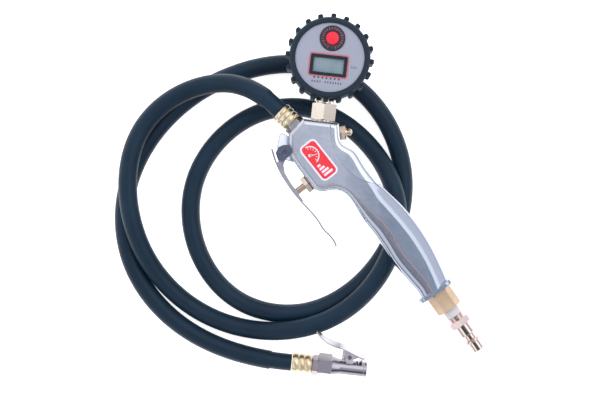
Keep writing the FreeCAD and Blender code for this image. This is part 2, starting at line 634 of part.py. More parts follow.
# ---------------------------------------------------------------- tyre chuck
# Local Z runs along the chuck from the hose end.  The clip is drawn level, on the +Y side of
# the chuck, and then rolled upward about the chuck's axis.
CHUCK_SIDE = (-CHUCK_DIR[1], CHUCK_DIR[0], 0.0)
CHUCK_START = FERRULE_L + NUT_L
CHUCK_TIP = CHUCK_START + 37.7
BARREL_R = 6.6
MOUTH_R = 4.2
SEAL_BOTTOM, SEAL_TOP = CHUCK_TIP - 14.0, CHUCK_TIP - 10.0

CLIP_ROLL = 33.0
ROLL_COS, ROLL_SIN = math.cos(math.radians(CLIP_ROLL)), math.sin(math.radians(CLIP_ROLL))
CLIP_HALF = 3.4         # half width of the clip
CLIP_T = 1.1            # sheet thickness of the clip
PIVOT_ALONG, PIVOT_OUT = 43.970, 13.2
CLIP_PIN_R = 0.95
CLAW_ALONG = 51.2
CLAW_HALF_T = 0.55

# (along, out) top line of the clip; "out" is measured level and scaled up for the roll
TAB = [(along, out / ROLL_COS) for along, out in (
    (17.020, 27.846), (18.756, 26.089), (21.545, 23.898), (24.879, 21.687), (27.734, 20.357),
    (31.355, 19.107), (34.937, 18.241), (38.094, 17.719), (42.947, 15.822), (47.808, 13.849),
    (52.023, 12.118), (55.374, 11.228))]
# (along, out) lower edge of the clip's ears, also allowing for their distance off centre
EAR_LOWER = [(along, (out + CLIP_HALF * ROLL_SIN) / ROLL_COS) for along, out in (
    (50.200, 9.522), (45.430, 6.928), (41.617, 6.297), (39.835, 11.462))]


def on_chuck(shape):
    return place(shape, CHUCK_BASE, CHUCK_DIR)


def chuck_point(along, out=0.0, rise=0.0):
    """Point from distances along the chuck, out to its +Y side and above its axis."""
    return (CHUCK_BASE[0] + CHUCK_DIR[0] * along + CHUCK_SIDE[0] * out,
            CHUCK_BASE[1] + CHUCK_DIR[1] * along + CHUCK_SIDE[1] * out,
            CHUCK_Z + rise)


CLIP_PIVOT = chuck_point(PIVOT_ALONG, PIVOT_OUT)


def side_prism(points, low, high):
    """Prism of (along, out) points between two heights from the chuck's axis."""
    face = face_of([Vector(*chuck_point(along, out, low)) for along, out in points])
    return face.extrude(Vector(0, 0, high - low))


def roll_up(shape):
    rolled = shape.copy()
    rolled.rotate(Vector(*CHUCK_BASE), Vector(*CHUCK_DIR), CLIP_ROLL)
    return rolled


def chuck_body():
    start = CHUCK_START
    body = hexagon(17.0, start, start + 10.6, 1.0)
    body = body.fuse(turned([
        (0, start + 10.0), (8.3, start + 10.6), (7.6, start + 13.0), (BARREL_R, start + 17.0),
        (BARREL_R, start + 35.2), (7.0, start + 35.5), (7.0, start + 37.3),
        (6.7, CHUCK_TIP), (0, CHUCK_TIP)]))
    for radius, bottom, top in ((NIPPLE_THREAD_R, start - 1, start + 8.2),
                                (1.8, start + 7, start + 30),
                                (MOUTH_R, SEAL_TOP, CHUCK_TIP + 1),
                                (4.75, SEAL_BOTTOM, SEAL_TOP)):
        body = body.cut(cylinder(radius, bottom, top))
    body = on_chuck(body)
    # lug that carries the clip
    lug = side_prism([
        (PIVOT_ALONG - 2.4, 4.0), (PIVOT_ALONG - 2.0, PIVOT_OUT + 0.4),
        (PIVOT_ALONG - 1.1, PIVOT_OUT + 1.8), (PIVOT_ALONG + 1.1, PIVOT_OUT + 1.8),
        (PIVOT_ALONG + 2.2, PIVOT_OUT - 0.6), (PIVOT_ALONG + 3.4, 4.0)], -2.2, 2.2)
    lug = lug.cut(on_chuck(cylinder(MOUTH_R + 1.0, 0, 100)))
    body = body.fuse(roll_up(lug))
    body = body.cut(roll_up(cross_hole(CLIP_PIN_R, CLIP_PIVOT, 40)))
    # slot for the claw
    slot = side_prism([(49.7, 3.0), (54.0, 3.0), (54.0, 12.0), (49.7, 12.0)], -2.4, 2.4)
    return body.cut(roll_up(slot))


def chuck_clip():
    """Thumb tab and top plate with a claw and two ears."""
    under = offset_open(TAB, -CLIP_T)
    clip = side_prism(TAB + under[::-1], -CLIP_HALF, CLIP_HALF)
    # narrow the thumb tab toward its end
    end = TAB[0][0]
    shoulder = TAB[3][0] + 1.0
    for side in (-1, 1):
        plan = [(end - 3, 1.2), (end, 1.2), (end + 0.7, 2.0), (end + 2.2, 2.3),
                (TAB[2][0], 2.8), (shoulder, CLIP_HALF), (shoulder, 7.0), (end - 3, 7.0)]
        wedge = face_of([Vector(*chuck_point(along, 0.0, side * rise)) for along, rise in plan])
        clip = clip.cut(wedge.extrude(Vector(*CHUCK_SIDE) * 60))
    tip_along, tip_out = TAB[-1]
    clip = clip.fuse(side_prism([
        (tip_along, tip_out), (tip_along + 0.9, tip_out - 0.6),
        (CLAW_ALONG + CLAW_HALF_T, 8.0), (CLAW_ALONG + CLAW_HALF_T, 4.75),
        (CLAW_ALONG - CLAW_HALF_T, 4.75), (CLAW_ALONG - CLAW_HALF_T, 8.2),
        under[-1]], -2.1, 2.1))
    ear = offset_open(TAB, -CLIP_T / 2)[7:11] + EAR_LOWER
    for low in (-CLIP_HALF, CLIP_HALF - CLIP_T):
        clip = clip.fuse(side_prism(ear, low, low + CLIP_T))
    return fuse(clip.cut(cross_hole(CLIP_PIN_R + RUN_FIT, CLIP_PIVOT, 40)))


def core_depressor():
    foot = CHUCK_TIP - 17.5
    pin = turned([(0, foot), (1.1, foot), (1.1, CHUCK_TIP - 10.8), (0.8, CHUCK_TIP - 10.2),
                  (0, CHUCK_TIP - 10.2)])
    bar = Part.makeBox(3.56, 0.8, 2.2, Vector(-1.78, -0.4, foot))
    return fuse(pin.fuse(bar).common(cylinder(1.78, 0, 100)))


clip_pin = turned([(0, -4.3), (1.3, -4.3), (1.4, -4.2), (1.4, -3.5), (CLIP_PIN_R, -3.5),
                   (CLIP_PIN_R, 3.5), (1.4, 3.5), (1.4, 4.2), (1.3, 4.3), (0, 4.3)])
clip_spring = coil(radius=1.25, wire_radius=0.3, bottom=7.0, top=18.2, turns=7)
chuck_seal = turned([(2.3, SEAL_BOTTOM), (4.7, SEAL_BOTTOM), (4.7, SEAL_TOP - 0.1),
                     (2.8, SEAL_TOP - 0.1), (2.3, SEAL_TOP - 0.6)])
save("chuck_body", chuck_body())
save("chuck_clip", roll_up(chuck_clip()))
save("chuck_clip_pin", roll_up(lay_flat(clip_pin, CLIP_PIVOT, 0)))
save("chuck_spring", roll_up(place(clip_spring, chuck_point(PIVOT_ALONG - 4.3), CHUCK_SIDE)))
save("chuck_seal", on_chuck(chuck_seal))
save("core_depressor", on_chuck(core_depressor()))

# ---------------------------------------------------------------- gauge
# Local X is right and local Y up on the face; local Z = 0 is the gun's middle plane.
FACE_R = 25.7           # visible radius of the face
BOOT_R = 30.3
RIB_R = 33.0            # boot radius over the ribs
RIB_COUNT = 20
RIB_W = 3.75
CASE_R = 27.7
CASE_BACK = -16.0
BOARD_TOP = 7.6
LCD_W, LCD_H = 22.6, 10.8
LCD_CENTRE = (-0.35, -6.0)
BUTTON_X, BUTTON_Y = 0.36, 14.33
GAUGE_TURN = math.degrees(math.atan2(CONN_OUT[1], CONN_OUT[0])) - 90.0
NECK_END = math.dist(GAUGE_CENTRE, CONN_BASE) - NECK_L    # its distance from the gauge axis


def on_gauge(shape):
    return lay_flat(shape, GAUGE_CENTRE, GAUGE_TURN)


def toward_neck(shape):
    """Local Z points from the gauge centre toward the connector."""
    return place(shape, GAUGE_CENTRE, CONN_IN)


def at_button(shape):
    return on_gauge(lay_flat(shape, (BUTTON_X, BUTTON_Y, 0), 0))


def lcd_box(width, height, radius, bottom, top):
    return lay_flat(round_box(width, height, radius, bottom, top), LCD_CENTRE + (0,), 0)


def gauge_boot():
    liner_r = CASE_R + 0.1
    boot = turned([
        (BOOT_R - 0.6, -17.4), (BOOT_R, -16.6), (BOOT_R, 12.6), (BOOT_R - 0.5, 14.2),
        (BOOT_R - 1.6, 15.1), (FACE_R + 0.8, 15.2), (FACE_R, 14.6), (FACE_R, 14.02),
        (liner_r, 14.02), (liner_r, CASE_BACK - 0.1), (24.0, CASE_BACK - 0.1), (24.0, -16.9),
        (24.6, -17.4)])
    half = RIB_W / 2.0
    edge = [(BOOT_R - 1.2, half), (RIB_R - 1.0, half), (RIB_R - 0.45, half - 0.2),
            (RIB_R - 0.1, half - 0.6), (RIB_R, half - 1.1)]
    section = [(x, -y) for x, y in edge] + edge[::-1]
    for k in range(RIB_COUNT):
        rib = prism(section, -14.6, 26.6)
        rib.rotate(Vector(0, 0, 0), Vector(0, 0, 1), 360.0 / RIB_COUNT * k + 90.8)
        boot = boot.fuse(rib)
    return on_gauge(boot).cut(toward_neck(cylinder(NECK_R + 0.1, 20, 40)))


def gauge_case():
    case = cylinder(CASE_R, CASE_BACK, 12.4)
    case = case.cut(cylinder(25.6, -1.0, 13.0))
    # battery bay and the recess of its cover
    case = case.cut(round_box(47.0, 23.0, 3.0, -17.0, -3.4))
    case = on_gauge(case.cut(round_box(50.4, 26.4, 4.2, -17.0, -14.3)))
    case = case.cut(toward_neck(cylinder(NECK_R, NECK_END - 0.02, 40)))
    return case.cut(toward_neck(cylinder(5.2, 12.6, 30)))


def face_panel():
    panel = cylinder(CASE_R, 12.4, 13.7)
    panel = panel.cut(lcd_box(LCD_W + 2.0, LCD_H + 2.0, 0.8, 12, 14))
    return panel.cut(Part.makeCylinder(5.6, 3, Vector(BUTTON_X, BUTTON_Y, 12)))


def lcd_frame():
    frame = lcd_box(27.6, 15.6, 1.2, 13.7, 14.1)
    frame = frame.fuse(lcd_box(LCD_W + 1.9, LCD_H + 1.9, 0.8, 12.6, 13.75))
    return fuse(frame.cut(lcd_box(LCD_W, LCD_H, 0.4, 12, 15)))


# components on the board: size x, size y, height, centre x, centre y
CHIPS = [(7, 7, 1.2, -14, 9), (5, 4, 1.0, -9, -17.5), (3, 2, 0.8, 10, -17.5),
         (3.2, 1.6, 0.9, 15.5, 6), (2, 1.2, 0.7, 17, 2), (2, 1.2, 0.7, 17, -1)]


def circuit_board():
    board = cylinder(24.4, 6.0, BOARD_TOP)
    board = board.cut(Part.makeBox(12, 10, 4, Vector(-6, -28, 5)))
    board = board.cut(Part.makeBox(10, 10, 4, Vector(-5, 23.0, 5)))
    for width, depth, height, x, y in CHIPS:
        corner = Vector(x - width / 2.0, y - depth / 2.0, BOARD_TOP)
        board = board.fuse(Part.makeBox(width, depth, height, corner))
    return fuse(board)


def tact_switch():
    base = Part.makeBox(6.2, 6.2, 1.9, Vector(BUTTON_X - 3.1, BUTTON_Y - 3.1, BOARD_TOP))
    return fuse(base.fuse(Part.makeCylinder(1.7, 0.5, Vector(BUTTON_X, BUTTON_Y, 9.4))))


def battery_cell(side):
    cell = turned([(0, -22.1), (4.8, -22.1), (5.15, -21.7), (5.15, 20.6), (4.8, 21.0),
                   (1.9, 21.0), (1.9, 22.1), (0, 22.1)])
    cell.rotate(Vector(0, 0, 0), Vector(0, 1, 0), 90 * side)
    cell.translate(Vector(0, side * 5.6, -9.2))
    return on_gauge(cell)


def battery_cover():
    cover = round_box(50.0, 26.0, 4.0, CASE_BACK, -14.35)
    for k in range(5):
        groove = Part.makeBox(0.7, 14.0, 0.5, Vector(15.0 + 1.6 * k, -7.0, CASE_BACK - 0.05))
        cover = cover.cut(groove)
    return cover


save("gauge_boot", gauge_boot())
save("gauge_case", gauge_case())
save("face_panel", on_gauge(face_panel()))
save("lcd_frame", on_gauge(lcd_frame()))
save("display_outline", on_gauge(
    lcd_box(29.7, 17.8, 2.0, 13.7, 13.86).cut(lcd_box(28.2, 16.3, 1.4, 13, 15))))
save("lcd_glass", on_gauge(lcd_box(LCD_W, LCD_H, 0.4, 12.7, 13.4)))
save("lcd_panel", on_gauge(lcd_box(26.4, 15.0, 0.4, 9.9, 12.35)))
save("circuit_board", on_gauge(circuit_board()))
save("lcd_backlight", on_gauge(lcd_box(27.2, 15.4, 0.6, BOARD_TOP, 9.85)))
save("button_ring", at_button(turned([
    (5.0, 13.7), (9.55, 13.7), (9.55, 14.1), (9.1, 14.7), (8.0, 15.0), (6.2, 15.1),
    (5.3, 14.9), (5.0, 14.6)])))
save("power_button", at_button(turned([
    (0, 11.0), (2.2, 11.0), (2.2, 12.4), (4.94, 12.4), (4.94, 15.0), (4.5, 15.5),
    (3.2, 15.8), (0, 15.9)])))
save("tact_switch", on_gauge(tact_switch()))
save("pressure_sensor", toward_neck(turned([
    (0, 12.7), (5.0, 12.7), (5.0, NECK_END - 1.6), (3.2, NECK_END - 1.6),
    (3.2, NECK_END - 0.1), (1.0, NECK_END - 0.1), (1.0, NECK_END - 3.4),
    (0, NECK_END - 3.4)])))
save("sensor_seal", toward_neck(turned([
    (3.25, NECK_END - 1.55), (5.0, NECK_END - 1.55), (5.0, NECK_END - 0.05),
    (3.25, NECK_END - 0.05)])))
save("battery_cells", Part.makeCompound([battery_cell(side) for side in (-1, 1)]))
save("battery_contacts", Part.makeCompound(
    [on_gauge(Part.makeBox(0.5, 20.0, 8.6, Vector(x, -10.0, -13.5))) for x in (-23.1, 22.6)]))
save("battery_cover", on_gauge(battery_cover()))
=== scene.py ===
"""A tyre inflator gun with a digital gauge, a coiled hose and a clip-on chuck.

The gun lies flat on the floor, seen from above (+Z). Its mid plane is at MID_HEIGHT, the head
with the trigger is towards -X +Y, and the handle runs down to the inlet at +X -Y. The gauge
stands beyond the head at +Y. Shapes are given in millimetres and scaled by MM.
"""
import math
import bpy
import bmesh
import numpy as np
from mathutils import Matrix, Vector
from mathutils.bvhtree import BVHTree


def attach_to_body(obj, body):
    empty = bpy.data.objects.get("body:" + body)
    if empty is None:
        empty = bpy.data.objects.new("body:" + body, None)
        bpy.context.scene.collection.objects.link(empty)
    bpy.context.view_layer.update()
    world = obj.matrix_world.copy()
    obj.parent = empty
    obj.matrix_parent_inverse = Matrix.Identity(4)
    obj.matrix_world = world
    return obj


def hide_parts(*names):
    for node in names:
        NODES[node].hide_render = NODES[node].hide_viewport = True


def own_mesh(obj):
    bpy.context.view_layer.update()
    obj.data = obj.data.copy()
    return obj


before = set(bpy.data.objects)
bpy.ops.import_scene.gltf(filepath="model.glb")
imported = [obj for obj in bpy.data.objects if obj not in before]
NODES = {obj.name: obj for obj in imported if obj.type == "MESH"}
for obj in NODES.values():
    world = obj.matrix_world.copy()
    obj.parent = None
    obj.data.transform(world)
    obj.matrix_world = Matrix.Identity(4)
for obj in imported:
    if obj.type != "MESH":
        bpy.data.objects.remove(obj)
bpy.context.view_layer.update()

MM = 0.001

# ---------------------------------------------------------------- driving dimensions (mm)
MID_HEIGHT = 43.0                       # mid plane of the gun above the floor
HALF = 14.0                             # half thickness of the casting
LUG_HALF = 5.85                         # half thickness of the trigger lug
ACROSS = (0.815, 0.580, 0.0)            # unit directions across and along the handle
ALONG = (0.580, -0.815, 0.0)
PIVOT = (-9.32, 36.14)                  # trigger pin
VALVE_BASE = (9.43, 12.74, MID_HEIGHT)
VALVE_IN = (0.801, 0.598, 0.0)
BLEED_BASE = (32.38, 49.87, MID_HEIGHT)
BLEED_OUT = (0.994, 0.110, 0.0)
INLET_BASE = (106.184, -69.233, MID_HEIGHT)
FLANGE_FACE = (104.834, -69.683)        # middle of the outer face of the inlet flange
FLANGE_OUT = (0.5798995, -0.8146880)
FLANGE_SIDE = (-FLANGE_OUT[1], FLANGE_OUT[0])
BADGE_CENTRE, BADGE_TURN = (16.631, 29.442), -51.8
GAUGE_CENTRE, GAUGE_TURN = (24.85, 105.47), -6.35
BUTTON = (0.36, 14.33)                  # middle of the button ring, from the gauge centre
HOSE_RADIUS, HOSE_BORE, HOSE_PINCHED = 7.15, 4.0, 6.5

# camera, in metres
VIEW_X, VIEW_Y = 0.002684, -0.000233
CAMERA_RISE = 1.2


# ---------------------------------------------------------------- node helpers
def rgb(*color):
    """sRGB 0-255 to linear."""
    out = []
    for v in color:
        v = v / 255.0
        out.append(v / 12.92 if v <= 0.04045 else ((v + 0.055) / 1.055) ** 2.4)
    return tuple(out)


def scaled(color, factor):
    return tuple(c * factor for c in color)


class Nodes:
    """Short calls for filling one node tree; each returns an output socket."""

    def __init__(self, tree):
        self.tree = tree
        tree.nodes.clear()

    def new(self, kind):
        return self.tree.nodes.new("ShaderNode" + kind)

    def put(self, value, socket):
        """Link a socket, or set a plain value."""
        if isinstance(value, bpy.types.NodeSocket):
            self.tree.links.new(value, socket)
        else:
            socket.default_value = value

    def coords(self, scale=(1, 1, 1), rotation=(0, 0, 0)):
        mapping = self.new("Mapping")
        mapping.inputs["Scale"].default_value = scale
        mapping.inputs["Rotation"].default_value = rotation
        self.put(self.new("TexCoord").outputs["Object"], mapping.inputs["Vector"])
        return mapping.outputs["Vector"]

    def noise(self, vector, scale, detail=4.0, rough=0.55):
        node = self.new("TexNoise")
        node.inputs["Scale"].default_value = scale
        node.inputs["Detail"].default_value = detail
        node.inputs["Roughness"].default_value = rough
        self.put(vector, node.inputs["Vector"])
        return node.outputs["Fac"]

    def ramp(self, fac, stops):
        """stops are (position, colour)."""
        node = self.new("ValToRGB")
        marks = node.color_ramp.elements
        for mark_, (place, color) in ((marks[0], stops[0]), (marks[1], stops[-1])):
            mark_.position = place
            mark_.color = (*color, 1)
        for place, color in stops[1:-1]:
            marks.new(place).color = (*color, 1)
        self.put(fac, node.inputs[0])
        return node.outputs["Color"]

    def remap(self, value, to, source=(0.3, 0.7)):
        node = self.new("MapRange")
        for i, number in enumerate((*source, *to), start=1):
            node.inputs[i].default_value = number
        self.put(value, node.inputs[0])
        return node.outputs[0]

    def mix(self, fac, first, second):
        """Colour mix; fac 0 gives first, 1 gives second."""
        node = self.new("Mix")
        node.data_type = "RGBA"
        node.blend_type = "MIX"
        self.put(fac, node.inputs[0])
        for i, color in ((6, first), (7, second)):
            self.put((*color, 1) if isinstance(color, tuple) else color, node.inputs[i])
        return node.outputs[2]

    def math(self, operation, first, second):
        node = self.new("Math")
        node.operation = operation
        self.put(first, node.inputs[0])
        self.put(second, node.inputs[1])
        return node.outputs[0]

    def vector_math(self, operation, first, second, output="Value"):
        node = self.new("VectorMath")
        node.operation = operation
        self.put(first, node.inputs[0])
        self.put(second, node.inputs[1])
        return node.outputs[output]

    def x_of(self, vector):
        node = self.new("SeparateXYZ")
        self.put(vector, node.inputs[0])
        return node.outputs[0]

    def edge_mask(self, radius):
        """0 on flats, 1 on sharp outer and inner edges."""
        bevel = self.new("Bevel")
        bevel.samples = 4
        bevel.inputs["Radius"].default_value = radius
        normal = self.new("NewGeometry").outputs["Normal"]
        agree = self.vector_math("DOT_PRODUCT", bevel.outputs[0], normal)
        return self.remap(self.math("SUBTRACT", 1.0, agree), to=(0.0, 1.0), source=(0.02, 0.22))


FINISHES = {}


class Surface(Nodes):
    """A new material with one principled shader, kept in FINISHES by name."""

    def __init__(self, name):
        material = bpy.data.materials.new(name)
        material.use_nodes = True
        super().__init__(material.node_tree)
        FINISHES[name] = material
        output = self.new("OutputMaterial")
        self.bsdf = self.new("BsdfPrincipled")
        self.put(self.bsdf.outputs[0], output.inputs[0])

    def set(self, socket, value):
        self.put(value, self.bsdf.inputs[socket])

    def bump(self, height, strength, distance, under=None):
        """Bump the shader's normal, on top of an earlier bump if given."""
        node = self.new("Bump")
        node.inputs["Strength"].default_value = strength
        node.inputs["Distance"].default_value = distance
        self.put(height, node.inputs["Height"])
        if under is not None:
            self.put(under, node.inputs["Normal"])
        self.set("Normal", node.outputs[0])
        return node.outputs[0]


# ---------------------------------------------------------------- finishes
def metal(name, color, rough, dark=None, rough_spread=0.06, grain=1500, grain_bump=0.12,
          blotch=60, swell=0.0, edge=None, metallic=1.0,
          painted_reflection_tone=None, painted_dark_reflection=None, facing=None, painted_side_reflections=None):
    """Blotched, finely grained and scratched metal.

    grain and blotch are noise scales; edge is the colour of edges: wear in patches, and a painted
    highlight along outer and inner edges.
    shade: (colour, roughness at the start, start x, end x), a painted reflection tone changing
    along x in mm.
    painted_dark_reflection: (centre, inner radius, outer radius, colour) in mm, a painted dark
    reflection round the centre.
    facing: colour stops by view angle, painted reflections.  sided: (direction, colour stops by
    how far a face turns to it), painted reflections.
    """
    s = Surface(name)
    place = s.coords()
    # painted reflections: the colour comes from the view angle
    if facing:
        weight = s.new("LayerWeight")
        weight.inputs["Blend"].default_value = 0.5
        base = s.ramp(weight.outputs["Facing"], facing)
    else:
        clouds = s.noise(place, scale=blotch, detail=5.0, rough=0.6)
        # painted reflections: the colour comes from the side a face turns to
        if painted_side_reflections:
            direction, stops = painted_side_reflections
            normal = s.new("NewGeometry").outputs["Normal"]
            toward = s.vector_math("DOT_PRODUCT", normal, direction)
            tone = s.ramp(s.remap(toward, to=(0.0, 1.0), source=(-1.0, 1.0)), stops)
            base = s.mix(s.remap(clouds, to=(0.0, 0.12)), tone, scaled(color, 0.6))
        else:
            base = s.ramp(clouds, [(0.3, dark or scaled(color, 0.78)), (0.62, color)])
    # painted reflection tone: the colour drifts towards reflection_color along x
    if painted_reflection_tone:
        reflection_color, start_rough, start, end = painted_reflection_tone
        span = (start * MM, end * MM)
        base = s.mix(s.remap(s.x_of(place), to=(0.0, 1.0), source=span),
                     base, s.mix(0.15, reflection_color, base))
    # painted dark reflection: darker round a centre point
    if painted_dark_reflection:
        centre, inner, outer, dark_reflection_color = painted_dark_reflection
        flat = s.vector_math("MULTIPLY", place, (1, 1, 0), "Vector")
        away = s.vector_math("DISTANCE", flat, (centre[0] * MM, centre[1] * MM, 0))
        dark_reflection_mask = s.remap(away, to=(1.0, 0.0), source=(inner * MM, outer * MM))
        base = s.mix(dark_reflection_mask, base, dark_reflection_color)
    fine = s.noise(place, scale=grain, detail=3.0, rough=0.6)
    base = s.mix(s.remap(fine, to=(0.0, 0.16)), base, scaled(color, 0.72))
    # lighter edges: wear in patches, and a painted highlight along outer and inner edges
    if edge:
        mask = s.edge_mask(0.0005)
        patchy = s.noise(place, scale=900, detail=4.0, rough=0.7)
        wear_and_edge_highlight = s.math("MULTIPLY", mask, s.remap(patchy, to=(0.1, 1.0), source=(0.35, 0.6)))
        base = s.mix(wear_and_edge_highlight, base, edge)
    s.set("Base Color", base)
    s.set("Metallic", metallic)
    roughness = s.remap(s.noise(place, scale=blotch * 3, detail=6.0, rough=0.65),
                        to=(max(0.02, rough - rough_spread), rough + rough_spread))
    if painted_reflection_tone:
        extra = s.remap(s.x_of(place), to=(start_rough - rough, 0.0), source=span)
        roughness = s.math("ADD", roughness, extra)
    s.set("Roughness", roughness)
    scratches = s.noise(s.coords(scale=(1, 14, 1), rotation=(0, 0, 0.6)),
                        scale=500, detail=6.0, rough=0.8)
    waves = None
    if swell:
        waves = s.bump(s.noise(place, scale=75, detail=2.0, rough=0.5),
                       strength=swell, distance=0.0006)
    grained = s.bump(fine, strength=grain_bump, distance=0.00004, under=waves)
    s.bump(s.remap(scratches, to=(0.0, 1.0), source=(0.62, 0.7)),
           strength=0.05, distance=0.00003, under=grained)


def plastic(name, color, rough=0.4, rough_spread=0.08, grain=3500, grain_bump=0.1,
            vary=0.12, edge=None, coat=0.0, dust=0.0, specular=0.5):
    """Moulded plastic, rubber, enamel or ink; vary is the spread of the tone."""
    s = Surface(name)
    place = s.coords()
    light = tuple(min(1, c * (1 + vary)) for c in color)
    base = s.ramp(s.noise(place, scale=40, detail=5.0, rough=0.6),
                  [(0.3, scaled(color, 1 - vary)), (0.7, light)])
    if dust:
        specks = s.noise(place, scale=700, detail=8.0, rough=0.75)
        base = s.mix(s.remap(specks, to=(0.0, dust), source=(0.52, 0.72)),
                     base, (0.35, 0.36, 0.38))
    # painted highlight: the edge colour laid along every outer and inner edge
    if edge:
        base = s.mix(s.math("MULTIPLY", s.edge_mask(0.0004), 0.7), base, edge)
    s.set("Base Color", base)
    s.set("Roughness", s.remap(s.noise(place, scale=160, detail=6.0, rough=0.6),
                               to=(rough - rough_spread, rough + rough_spread)))
    s.set("Specular IOR Level", specular)
    if coat:
        s.set("Coat Weight", coat)
        s.set("Coat Roughness", 0.08)
    s.bump(s.noise(place, scale=grain, detail=3.0, rough=0.6),
           strength=grain_bump, distance=0.00005)


def hose_rubber():
    s = Surface("hose_cover")
    place = s.coords()
    base = s.ramp(s.noise(place, scale=22), [(0.3, rgb(13, 34, 50)), (0.7, rgb(22, 46, 64))])
    along = s.new("Attribute")
    along.attribute_name = "along"
    parts = s.new("SeparateXYZ")
    s.put(along.outputs["Vector"], parts.inputs[0])
    stretched = s.new("CombineXYZ")
    s.put(s.math("MULTIPLY", parts.outputs[0], 0.06), stretched.inputs[0])
    s.put(parts.outputs[1], stretched.inputs[1])
    s.put(parts.outputs[2], stretched.inputs[2])
    # long faint lines that run with the hose
    lines = s.noise(stretched.outputs[0], scale=7.0, detail=6.0, rough=0.7)
    scuffs = s.noise(place, scale=420, detail=8.0, rough=0.75)
    base = s.mix(s.remap(scuffs, to=(0.0, 0.05), source=(0.58, 0.74)), base, rgb(88, 98, 108))
    base = s.mix(s.remap(lines, to=(0.0, 0.2), source=(0.4, 0.7)), base, rgb(36, 54, 68))
    s.set("Base Color", base)
    s.set("Roughness", s.remap(s.noise(place, scale=90, detail=5.0, rough=0.6),
                               to=(0.36, 0.50)))
    s.set("Specular IOR Level", 0.22)
    lined = s.bump(lines, strength=0.22, distance=0.0002)
    s.bump(s.noise(place, scale=3200, detail=4.0, rough=0.6),
           strength=0.12, distance=0.00006, under=lined)


def thread_tape():
    s = Surface("ptfe_tape")
    place = s.coords()
    wave = s.new("TexWave")
    wave.inputs["Scale"].default_value = 380.0
    wave.inputs["Distortion"].default_value = 0.8
    wave.inputs["Detail"].default_value = 3.0
    s.put(s.coords(rotation=(0, 0, math.radians(54.5))), wave.inputs["Vector"])
    turns = wave.outputs["Fac"]
    s.set("Base Color", s.ramp(turns, [(0.2, rgb(196, 194, 194)), (0.8, rgb(224, 223, 224))]))
    s.set("Roughness", 0.55)
    s.set("Subsurface Weight", 0.15)
    s.set("Subsurface Radius", (0.0005, 0.0005, 0.0005))
    wound = s.bump(turns, strength=0.4, distance=0.00015)
    s.bump(s.noise(place, scale=1200, detail=5.0, rough=0.7),
           strength=0.4, distance=0.0001, under=wound)


def clear_lens():
    s = Surface("lens_clear")
    s.set("Base Color", (0.90, 0.94, 0.96, 1))
    s.set("Specular IOR Level", 0.6)
    s.set("Roughness", s.remap(s.noise(s.coords(), scale=300, detail=5.0, rough=0.6),
                               to=(0.03, 0.07)))
    # faint smears, otherwise see-through
    s.set("Alpha", s.remap(s.noise(s.coords(), scale=120, detail=4.0, rough=0.6),
                           to=(0.03, 0.09), source=(0.35, 0.75)))


